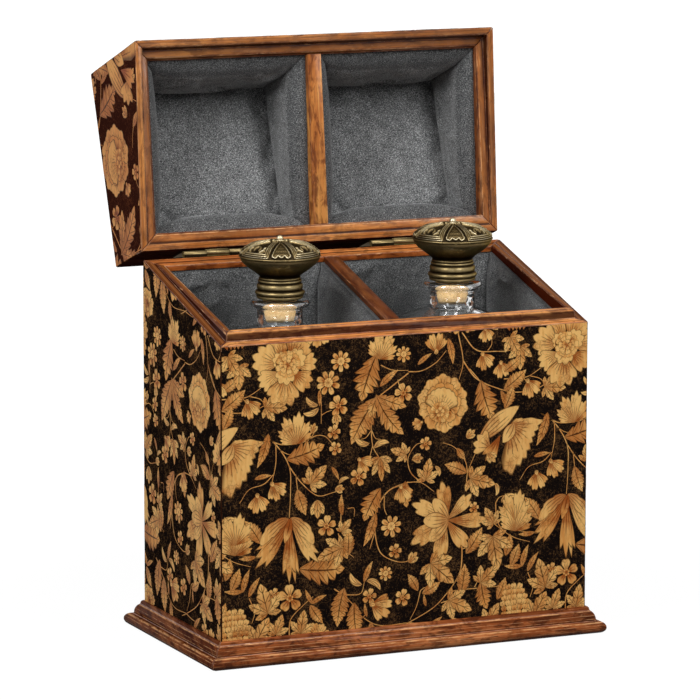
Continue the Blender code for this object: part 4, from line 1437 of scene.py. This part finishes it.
    m.leaf((0.05, 0.17), -112, 0.27, 0.16, 6, 0.45, 0.9, bend=-1.2, fan=3, steps=(9, 4), tint=0.0)
    m = begin("spray")
    m.leaf(
        (-0.48, 0), -8, 1.0, 0.40, 2, 0.5, 0.9, teeth=6, depth=0.36, lean=0.2, bend=0.55, ribs=6,
        steps=(24, 4)
    )
    m.leaf(
        (-0.44, 0), 34, 0.66, 0.30, 1, 0.5, 0.9, teeth=4, depth=0.32, lean=0.15, bend=0.35, ribs=4,
        steps=(16, 4)
    )
    m.leaf((-0.44, 0), -48, 0.42, 0.24, 0, 0.5, 0.9, teeth=3, depth=0.3, lean=0.15, ribs=3, steps=(12, 4))
    drawn.sort(key=lambda item: item.name)
    pieces = [(f"motif_{number:02d}_{motif.name}", motif.mesh()) for number, motif in enumerate(drawn)]
    return makeBank("motifs", pieces), {motif.name: number for number, motif in enumerate(drawn)}


motifBank, motifNumber = drawMotifs()

# (motif, x, y, length, turn) in millimetres and degrees, from the tile's lower left corner
tileMotifs = (
    ("peony", 48, 197.6, 51, 0), ("vine", 7.7, 202, 17, -60), ("serrate", 7, 187, 16, 30),
    ("bell", 21.7, 169.6, 17, -62), ("vine", 38.7, 169.6, 18, -5), ("daisy", 88.7, 198.8, 17, 0),
    ("daisy", 79.3, 184.4, 20, 20), ("lance", 72.8, 174, 11, -88), ("crescent", 66.3, 170.9, 12, 150),
    ("crescent", 66.9, 164, 13, 200), ("bloom", 87, 167.8, 17, 30), ("bud", 85.5, 158.4, 9, -80),
    ("fan", 53.9, 153.4, 25, 100), ("wing", 4.8, 136, 60, 0), ("serrate", 5, 164.2, 17, 60),
    ("lance", 31.3, 140.3, 25, -110), ("oak", 62.7, 135, 30, 8), ("bud", 68.1, 153.3, 8, 75),
    ("bloom", 83.6, 149.7, 12, 0), ("bloom", 84.7, 138.1, 11, 40), ("lance", 30.2, 122.3, 13, 8),
    ("bell", 41, 111.3, 17, -55), ("bell", 27.1, 103, 17, -82), ("vine", 70.5, 119.3, 19, 45),
    ("lance", 84.9, 120.9, 11, -60), ("crescent", 90.6, 116, 9, 30), ("bud", 88, 109.3, 8, 0),
    ("serrate", 58.2, 101.9, 20, -78), ("bud", 71.2, 96.6, 14, -88), ("lance", 89.2, 97.7, 15, 92),
    ("tulip", 49.2, 72.4, 55, -92), ("fan", 9, 86.2, 25, 95), ("serrate", 24, 84.6, 21, 118),
    ("bloom", 78.2, 84.1, 17, 10), ("vine", 92.3, 82.5, 12, 50), ("vine", 82.4, 64.9, 22, 200),
    ("serrate", 95.5, 70.8, 19, 82), ("oak", 74.3, 51.7, 35, -12), ("lance", 18.9, 65.9, 13, -178),
    ("serrate", 5, 58.9, 16, 70), ("lance", 17, 50.2, 17, 72), ("lance", 8.5, 43.2, 14, 176),
    ("lance", 23.2, 45.5, 16, 58), ("vine", 31.7, 34.5, 24, 105), ("bloom", 38.7, 38.8, 11, 0),
    ("bloom", 50.6, 35.5, 22, 20), ("cone", 9.6, 16.8, 34, 92), ("vine", 28.6, 12.6, 22, 60),
    ("vine", 41.8, 16.1, 16, 70), ("lance", 64.7, 34.9, 12, 118), ("lance", 72, 33, 13, 25),
    ("serrate", 69.7, 21.9, 17, -62), ("vine", 59.6, 16.3, 18, 80), ("peonySmall", 71.2, 5.8, 24, 10),
    ("serrate", 87.3, 25.9, 28, -108), ("serrate", 98.8, 15.1, 26, -92),
    ("crescent", 99.4, 43.2, 14, 140), ("lance", 109.3, 49.1, 16, 66),
    ("crescent", 114.9, 40.7, 14, -30), ("daisy", 123.1, 46.7, 12, 0), ("bloom", 110.9, 31.5, 13, 0),
    ("bell", 120.5, 22.9, 21, -20), ("bloom", 136.3, 28.4, 14, 0), ("lance", 107.8, 21.7, 10, 100),
    ("serrate", 112.4, 5.9, 14, -85), ("oak", 107.8, 186.5, 34, -118), ("fan", 120.5, 207.1, 22, 75),
    ("lance", 124.7, 184.9, 18, 38), ("daisy", 136.3, 200.6, 13, 0), ("serrate", 104.1, 156.9, 37, -128),
    ("spray", 123.6, 158.2, 37, -62), ("bloom", 136.3, 173.4, 16, 30),
    ("crescent", 104.5, 140.4, 13, 160), ("crescent", 119.2, 139.4, 13, 20),
    ("bell", 107.2, 125.2, 15, -40), ("star", 119.2, 121.8, 19, -85), ("bloom", 102.2, 116.9, 15, 0),
    ("vine", 133.9, 131.7, 14, 160), ("oak", 111.2, 97.4, 26, -128), ("daisy", 127.3, 79.9, 18, 10),
    ("bloom", 130.4, 62, 12, 0), ("lance", 111.8, 78.7, 25, -112), ("bell", 136.6, 101.7, 16, -70),
    ("round", 166.6, 164.2, 43, 20), ("bell", 161.2, 207.6, 18, 90), ("lance", 172.8, 200.8, 19, -78),
    ("lance", 151.9, 196.4, 13, 35), ("bell", 199.1, 191, 16, -70), ("bell", 212.3, 184.1, 15, -80),
    ("vine", 226.4, 193.5, 18, -90), ("bell", 199.9, 209.6, 13, -80), ("oak", 198.4, 163.2, 31, -80),
    ("serrate", 223.1, 175.9, 22, 30), ("lance", 214.6, 163, 16, -70), ("bloom", 153.5, 136.4, 11, 0),
    ("bud", 147.3, 126.5, 9, 0), ("vine", 155, 116.6, 17, 80), ("crescent", 163.5, 116.8, 9, -60),
    ("oak", 137.2, 101.7, 19, -95), ("lily", 170, 80.9, 58, 75), ("serrate", 180.4, 126.8, 11, -60),
    ("serrate", 177.3, 117.9, 19, 150), ("vine", 195.7, 106.7, 22, -15),
    ("crescent", 209.2, 100, 10, -80), ("crescent", 217.7, 93.7, 14, 20), ("fan", 224.2, 79, 25, 85),
    ("vine", 203.8, 80.1, 15, 120), ("serrate", 192.3, 63.6, 22, 48), ("vine", 207.5, 56.6, 27, -80),
    ("serrate", 224.2, 51.2, 17, 60), ("vine", 164.8, 44.8, 26, -40), ("serrate", 184, 37.3, 22, 75),
    ("vine", 201.9, 38.3, 19, 40), ("oak", 197.9, 24.3, 21, -85), ("serrate", 213.8, 27.8, 17, 60),
    ("serrate", 144.9, 38.8, 15, 115), ("serrate", 158.6, 32.6, 16, 20), ("vine", 178.8, 19.8, 22, -25),
    ("lance", 160.3, 7.3, 16, 40), ("bloom", 175, 4.3, 14, 0), ("bell", 187.7, 4, 13, 60),
    ("vine", 205.9, 9.4, 18, 60), ("bud", 188.1, 140.6, 9, 40), ("bell", 146.8, 150.5, 10, 200),
    ("bud", 204.4, 123, 10, -50), ("bloom", 191.2, 88.1, 9, 0), ("bud", 144, 56.1, 10, 50),
    ("lance", 153.3, 24.7, 9, 100),
)
# Each stem's course, thickest where it starts
tileStems = (
    ((0, 178), (10, 178), (20, 179), (35, 188)), ((20, 179), (29, 176), (32, 170)),
    ((15, 178), (18, 175), (19, 174)), ((74, 182), (73, 178), (74, 171), (74, 156)),
    ((74, 162), (78, 164), (82, 165)), ((29, 152), (40, 144), (50, 128), (51, 110), (50, 92)),
    ((29, 152), (43, 144), (59, 144), (70, 148), (77, 147), (82, 142)), ((64, 145), (68, 149), (70, 154)),
    ((40, 144), (40, 131), (37, 117)), ((38, 123), (31, 117), (20, 114), (13, 105)),
    ((50, 128), (59, 116), (71, 106), (82, 107), (90, 109)), ((55, 122), (56, 113), (57, 107)),
    ((43, 140), (48, 137), (52, 136)), ((89, 86), (89, 93), (89, 105)), ((94, 95), (99, 95), (99, 89)),
    ((87, 78), (90, 68), (99, 60)), ((1, 77), (5, 71), (16, 68), (25, 66)), ((20, 38), (24, 28), (22, 20)),
    ((50, 7), (51, 20), (60, 29), (68, 35)), ((84, 39), (91, 34), (98, 27), (106, 17), (119, 10), (140, 10)),
    ((93, 34), (104, 34), (107, 42)), ((106, 17), (108, 19), (109, 22)),
    ((140, 188), (150, 188), (161, 193), (169, 201)),
    ((140, 187), (128, 179), (115, 169), (112, 154), (113, 138), (118, 129), (120, 125)),
    ((112, 149), (108, 144), (104, 143)), ((112, 149), (115, 143), (119, 142)),
    ((119, 194), (128, 190), (140, 189)), ((113, 138), (111, 131), (110, 128)),
    ((132, 183), (133, 179), (135, 178)),
    ((140, 110), (125, 105), (116, 92), (115, 77), (119, 62), (130, 55), (140, 54), (146, 60)),
    ((122, 103), (122, 93), (124, 88)), ((115, 77), (112, 68), (111, 65)),
    ((140, 110), (150, 109), (160, 102)), ((149, 110), (142, 117), (140, 127), (146, 136), (152, 137)),
    ((143, 126), (146, 124), (147, 126)), ((178, 213), (182, 193), (179, 180)),
    ((182, 193), (192, 180), (208, 172), (223, 168), (238, 169), (250, 174)),
    ((181, 213), (192, 200), (208, 198), (218, 198), (226, 202)), ((212, 168), (214, 165), (214, 164)),
    ((201, 199), (204, 203), (204, 208)), ((187, 187), (195, 178), (197, 174)),
    ((185, 100), (186, 113), (192, 127)), ((186, 113), (184, 122), (176, 132), (167, 136)),
    ((208, 90), (209, 78), (214, 70), (223, 64), (235, 60)), ((208, 90), (211, 94), (217, 95)),
    ((206, 76), (211, 72), (214, 70)),
    ((180, 72), (182, 59), (181, 44), (176, 35), (171, 29), (160, 19), (141, 10), (133, 7)),
    ((171, 29), (181, 30), (195, 30), (214, 30)), ((192, 31), (195, 36), (198, 40)),
    ((150, 32), (147, 21), (142, 12)), ((150, 32), (153, 34), (156, 33)), ((166, 22), (173, 23), (180, 21)),
    ((141, 10), (152, 8), (161, 8)), ((176, 35), (180, 39), (183, 41)), ((182, 59), (189, 61), (192, 62)),
)


def newTree(name, inputs):
    tree = bpy.data.node_groups.new(name, "GeometryNodeTree")
    tree.interface.new_socket("Geometry", in_out="INPUT", socket_type="NodeSocketGeometry")
    for label, kind in inputs.items():
        tree.interface.new_socket(label, in_out="INPUT", socket_type=f"NodeSocket{kind}")
    tree.interface.new_socket("Geometry", in_out="OUTPUT", socket_type="NodeSocketGeometry")
    return tree, tree.nodes.new("NodeGroupInput"), tree.nodes.new("NodeGroupOutput")


def endTree(tree, given, result, laid):
    # What was laid comes out as one mesh in the given wood.
    real = treeNode(tree, "GeometryNodeRealizeInstances", None, {0: laid.outputs[0]})
    sockets = {"Geometry": real.outputs[0], "Material": given.outputs["Wood"]}
    wood = treeNode(tree, "GeometryNodeSetMaterial", None, sockets)
    tree.links.new(wood.outputs[0], result.inputs[0])
    return tree


def grown(piece, tree, values):
    # The piece's mesh after its geometry nodes, whose inputs are set by their identifiers.
    modifier = piece.modifiers.new(tree.name, "NODES")
    modifier.node_group = tree
    for item in tree.interface.items_tree:
        if item.item_type == "SOCKET" and item.in_out == "INPUT" and item.name in values:
            modifier[item.identifier] = values[item.name]
    return baked(piece)


def scatterTree():
    # Puts a motif on each point, turned, sized and lifted as the point says.
    tree, given, result = newTree(
        "scatter_inlay",
        {"Motifs": "Collection", "Length Unit": "Float", "Layer": "Float", "Wood": "Material"}
    )
    spots = treeNode(tree, "GeometryNodeMeshToPoints", None, {"Mesh": given.outputs["Geometry"]})
    bank = treeNode(
        tree, "GeometryNodeCollectionInfo", None,
        {"Collection": given.outputs["Motifs"], "Separate Children": True, "Reset Children": True}
    )
    kind, turn, size = (
        treeNode(tree, "GeometryNodeInputNamedAttribute", {"data_type": dataType}, {"Name": label})
        for label, dataType in (("kind", "INT"), ("turn", "FLOAT"), ("size", "FLOAT"))
    )
    way = treeNode(tree, "ShaderNodeCombineXYZ", None, {"Z": turn.outputs[0]})
    long = treeNode(
        tree, "ShaderNodeMath", {"operation": "MULTIPLY"},
        {0: size.outputs[0], 1: given.outputs["Length Unit"]}
    )
    scale = treeNode(
        tree, "ShaderNodeCombineXYZ", None,
        {"X": long.outputs[0], "Y": long.outputs[0], "Z": given.outputs["Layer"]}
    )
    placed = treeNode(tree, "GeometryNodeInstanceOnPoints", None, {
        "Points": spots.outputs[0], "Instance": bank.outputs[0], "Pick Instance": True,
        "Instance Index": kind.outputs[0], "Rotation": way.outputs[0], "Scale": scale.outputs[0],
    })
    return endTree(tree, given, result, placed)


def stemTree():
    # A flat ribbon along each stem, as wide as its points' radius says.
    tree, given, result = newTree("lay_stems", {"Step": "Float", "Wood": "Material"})
    fine = treeNode(
        tree, "GeometryNodeResampleCurve", {"mode": "LENGTH"},
        {"Curve": given.outputs["Geometry"], "Length": given.outputs["Step"]}
    )
    level = treeNode(tree, "GeometryNodeSetCurveNormal", {"mode": "Z_UP"}, {"Curve": fine.outputs[0]})
    strip = treeNode(tree, "GeometryNodeCurvePrimitiveLine", None, {"Start": (-1, 0, 0), "End": (1, 0, 0)})
    width = treeNode(tree, "GeometryNodeInputRadius")
    ribbon = treeNode(
        tree, "GeometryNodeCurveToMesh", None,
        {"Curve": level.outputs[0], "Profile Curve": strip.outputs[0], "Scale": width.outputs[0]}
    )
    return endTree(tree, given, result, ribbon)


scatter, layStems = scatterTree(), stemTree()


def smoothCourse(course, steps):
    # A smooth line through a stem's points.
    pts = [np.array(p, float) for p in course]
    pts = [2 * pts[0] - pts[1], *pts, 2 * pts[-1] - pts[-2]]
    line = []
    for a, b, c, d in zip(pts, pts[1:], pts[2:], pts[3:]):
        for step in range(steps):
            t = step / steps
            square, cube = 2 * a - 5 * b + 4 * c - d, 3 * b - 3 * c + d - a
            line.append(0.5 * (2 * b + (c - a) * t + square * t * t + cube * t ** 3))
    return line + [pts[-2]]


def patternFor(outline, shift, work):
    # Motifs and stems, in metres, that touch the outline, with the tile repeated under it.
    tileWide, tileTall = work["tile"]
    low, high = np.min(outline, 0) * 1000, np.max(outline, 0) * 1000
    spots, stems = [], []
    for column in range(-2, 3):
        for row in range(-2, 3):
            dx, dy = column * tileWide + shift[0], row * tileTall + shift[1]
            for kind, x, y, size, turn in tileMotifs:
                reach = size * 0.75
                if low[0] - reach < x + dx < high[0] + reach and low[1] - reach < y + dy < high[1] + reach:
                    spots.append((kind, (x + dx) / 1000, (y + dy) / 1000, size, turn))
            for course in tileStems:
                xs, ys = [p[0] + dx for p in course], [p[1] + dy for p in course]
                if max(xs) > low[0] and min(xs) < high[0] and max(ys) > low[1] and min(ys) < high[1]:
                    stems.append([((p[0] + dx) / 1000, (p[1] + dy) / 1000) for p in course])
    return spots, stems


def scattered(places, kinds, turns, sizes, bank, unit, layer, finish):
    # The bank's pieces of the given kinds at the places, turned and sized.
    mesh = bpy.data.meshes.new("spots")
    mesh.from_pydata(places, [], [])
    mesh.attributes.new("kind", "INT", "POINT").data.foreach_set("value", kinds)
    addValues(mesh, "turn", turns)
    addValues(mesh, "size", sizes)
    return grown(
        linked("spots", mesh), scatter, {"Motifs": bank, "Length Unit": unit, "Layer": layer, "Wood": finish}
    )


def scatterMesh(spots, work, wood):
    kinds, xs, ys, sizes, turns = zip(*spots)
    lift, more, cycle = work["motifLift"], work["spotLift"], work["spotCycle"]
    heights = [lift + more * (number % cycle) for number in range(len(spots))]
    return scattered(
        list(zip(xs, ys, heights)), [motifNumber[kind] for kind in kinds], np.radians(turns), sizes,
        motifBank, 0.001, work["layerLift"], wood,
    )


def stemMesh(stems, work, wood):
    curve = bpy.data.curves.new("stems", "CURVE")
    curve.dimensions = "3D"
    for course in stems:
        line = smoothCourse(course, work["stemSteps"])
        spline = curve.splines.new("POLY")
        spline.points.add(len(line) - 1)
        length = sum(math.dist(a, b) for a, b in zip(line, line[1:]))
        thick = work["stemThin"] + work["stemGain"] * min(length, work["stemLong"])
        for number, (x, y) in enumerate(line):
            spline.points[number].co = (x, y, work["stemLift"], 1)
            spline.points[number].radius = thick * (1 - work["stemTaper"] * number / len(line))
    mesh = grown(linked("stems", curve), layStems, {"Step": work["stemStep"], "Wood": wood})
    layer = mesh.uv_layers.new(name="petal")
    layer.data.foreach_set("uv", np.tile((0.62, 0.5), len(mesh.loops)))
    for name, value in (("ribs", 0.0), ("fan", 0.0), ("tint", 0.8)):
        addValues(mesh, name, np.full(len(mesh.vertices), value))
    return mesh


def trimmed(meshes, outline):
    # The meshes as one, facing up, and cut off at the outline's straight sides.
    bm = bmesh.new()
    for mesh in meshes:
        bm.from_mesh(mesh)
        bpy.data.meshes.remove(mesh)
    for face in bm.faces:
        face.normal_update()
    bmesh.ops.reverse_faces(bm, faces=[face for face in bm.faces if face.normal.z < 0])
    middle = np.mean(outline, 0)
    for start, end in zip(outline, [*outline[1:], outline[0]]):
        side = Vector((end[1] - start[1], start[0] - end[0], 0)).normalized()
        if side.dot(Vector((*middle, 0)) - Vector((*start, 0))) > 0:
            side = -side
        everything = bm.verts[:] + bm.edges[:] + bm.faces[:]
        bmesh.ops.bisect_plane(
            bm, geom=everything, dist=1e-7, plane_co=(*start, 0), plane_no=side, clear_outer=True
        )
    return meshOf(bm, "inlay")


def groundSheet(outline, work):
    # A thin closed leaf of dark veneer.
    bm = bmesh.new()
    low = [bm.verts.new((*spot, -work["groundSunk"])) for spot in outline]
    high = [bm.verts.new((*spot, work["groundProud"])) for spot in outline]
    bm.faces.new(low)
    bm.faces.new(high)
    for step in range(len(low)):
        after = (step + 1) % len(low)
        bm.faces.new((low[step], low[after], high[after], high[step]))
    bmesh.ops.recalc_face_normals(bm, faces=bm.faces)
    return meshOf(bm, "ground")


def layMarquetry(
    name, body, corner, across, upward, outline, shift, work, woods=("ground", "inlay"), grow=1.0
):
    # The outline is in metres from the corner, along the two ways, seen from outside with the lid shut.
    across, upward = Vector(across), Vector(upward)
    out = across.cross(upward)
    stand = Matrix((across, upward, out)).transposed().to_4x4()
    stand.translation = Vector(corner)
    if body == "lid":
        stand = opened @ stand
    ground = groundSheet(outline, work)
    ground.transform(stand)
    settle(f"{name}_ground", ground, body, (looks[woods[0]],), ())
    outline = [(x / grow, y / grow) for x, y in outline]
    spots, stems = patternFor(outline, shift, work)
    wood = looks[woods[1]]
    inlay = trimmed([scatterMesh(spots, work, wood), stemMesh(stems, work, wood)], outline)
    inlay.transform(Matrix.Translation((0, 0, work["groundProud"])) @ Matrix.Diagonal((grow, grow, 1, 1)))
    inlay.transform(stand)
    settle(f"{name}_inlay", inlay, body, (wood,), ())


def layAll(work):
    keys = ("halfWide", "halfDeep", "inlayFoot", "mouthFront", "top")
    halfWide, halfDeep, low, mouth, top = (caseSize[key] for key in keys)
    margin = work["margin"]
    wide, deep = 2 * halfWide - 2 * margin, 2 * halfDeep - 2 * margin
    mouthBack = mouth + caseSize["slope"] * (halfDeep + halfDeep)
    front, back = mouth - margin - low, mouthBack - margin - low
    foot, tall = caseSize["gap"] + margin, top - margin - mouth
    backFoot = mouthBack - mouth + foot
    # The tile's top edge is at the front's top edge.
    rise = 1000 * front - work["tile"][1]
    sides = {
        "front": ((margin - halfWide, -halfDeep), (1, 0, 0), wide),
        "left": ((-halfWide, halfDeep - margin), (0, -1, 0), deep),
        "right": ((halfWide, margin - halfDeep), (0, 1, 0), deep),
    }
    # Body, side, the heights of the lower left, lower right, upper right and upper left corner, and the
    # tile's shift in millimetres. Two woods and a growth follow where they differ.
    for body, side, heights, shift, *woods in (
        ("case", "front", (0, 0, front, front), (0, rise)),
        ("case", "left", (0, 0, front, back), (-62, rise + 6)),
        ("case", "right", (0, 0, back, front), (-70, rise + 3)),
        ("lid", "front", (foot, foot, tall, tall), (0, -6)),
        ("lid", "left", (backFoot, foot, tall, tall), (-111, -112), ("redGround", "redInlay"), 1.3),
        ("lid", "right", (foot, backFoot, tall, tall), (-95, -40)),
    ):
        start, across, width = sides[side]
        outline = list(zip((0, width, width, 0), heights))
        corner = (*start, mouth if body == "lid" else low)
        layMarquetry(f"{body}_{side}", body, corner, across, (0, 0, 1), outline, shift, work, *woods)
    outline = [(0, 0), (wide, 0), (wide, deep), (0, deep)]
    corner = (margin - halfWide, margin - halfDeep, top)
    layMarquetry("lid_top", "lid", corner, (1, 0, 0), (0, 1, 0), outline, (-35, -44), work)


layAll(inlayWork)
dropBank(motifBank)
print("marquetry laid")

# Screw heads on the hinges' leaves

screwWork = {
    "headRadius": 0.0021,
    "headRise": 0.00045,
    "slotWidth": 0.0005,
    "slotDepth": 0.00035,
    "sides": 20,
    "places": (0.14, 0.5, 0.86),  # shares of a leaf's length
    "leafStarts": (-0.1081, 0.0381),
    "leafLength": 0.0700,
    "leafFace": 0.0732,
    "fromAxis": 0.0127,
    "wear": 0.4,
}


def screwHead(work):
    # A low dome with a straight slot: the profile across the slot, then round the two halves.
    bm = bmesh.new()
    reach, half = work["headRadius"], work["slotWidth"] / 2
    for side in (-1, 1):
        rows = []
        for height, share in ((0.0, 1.0), (work["headRise"] * 0.55, 0.97), (work["headRise"], 0.55)):
            start = math.asin(half / (reach * share))
            row = []
            for step in range(work["sides"] // 2 + 1):
                angle = start + (math.pi - 2 * start) * step / (work["sides"] // 2)
                away = side * reach * share
                row.append(bm.verts.new((away * math.cos(angle), away * math.sin(angle), height)))
            rows.append(row)
        for low, high in zip(rows, rows[1:]):
            for step in range(len(low) - 1):
                bm.faces.new((low[step], low[step + 1], high[step + 1], high[step]))
        bm.faces.new(rows[-1])
        bm.faces.new((rows[0][0], rows[1][0], rows[2][0], rows[2][-1], rows[1][-1], rows[0][-1]))
        bm.faces.new(rows[0])
    floor = work["headRise"] - work["slotDepth"]
    corners = ((-1, -1), (1, -1), (1, 1), (-1, 1))
    bm.faces.new([bm.verts.new((x * reach * 0.99, y * half, floor)) for x, y in corners])
    bmesh.ops.recalc_face_normals(bm, faces=bm.faces)
    return meshOf(bm, "screw_head")


def layScrews(work):
    bank = makeBank("screws", [("screw_head", screwHead(work))])
    turns = np.random.default_rng(3)
    for hand, start in zip(hands, work["leafStarts"]):
        for body, side in (("case", -1), ("lid", 1)):
            height = side * work["fromAxis"]
            spots = [(start + work["leafLength"] * share, height, 0) for share in work["places"]]
            count = len(spots)
            turned = turns.uniform(0, math.pi, count)
            heads = scattered(spots, [0] * count, turned, [1.0] * count, bank, 1.0, 1.0, looks["brass"])
            # Local x runs along the leaf and y up, and the heads face backwards.
            stand = Matrix(((1, 0, 0, 0), (0, 0, 1, work["leafFace"]), (0, 1, 0, hinge["z"]), (0, 0, 0, 1)))
            heads.transform(opened @ stand if body == "lid" else stand)
            heads.flip_normals()
            addValues(heads, "wear", [work["wear"]] * len(heads.vertices))
            settle(f"hinge_{body}_screws_{hand}", heads, body, (looks["brass"],), ())
    dropBank(bank)


layScrews(screwWork)
print("screws set")
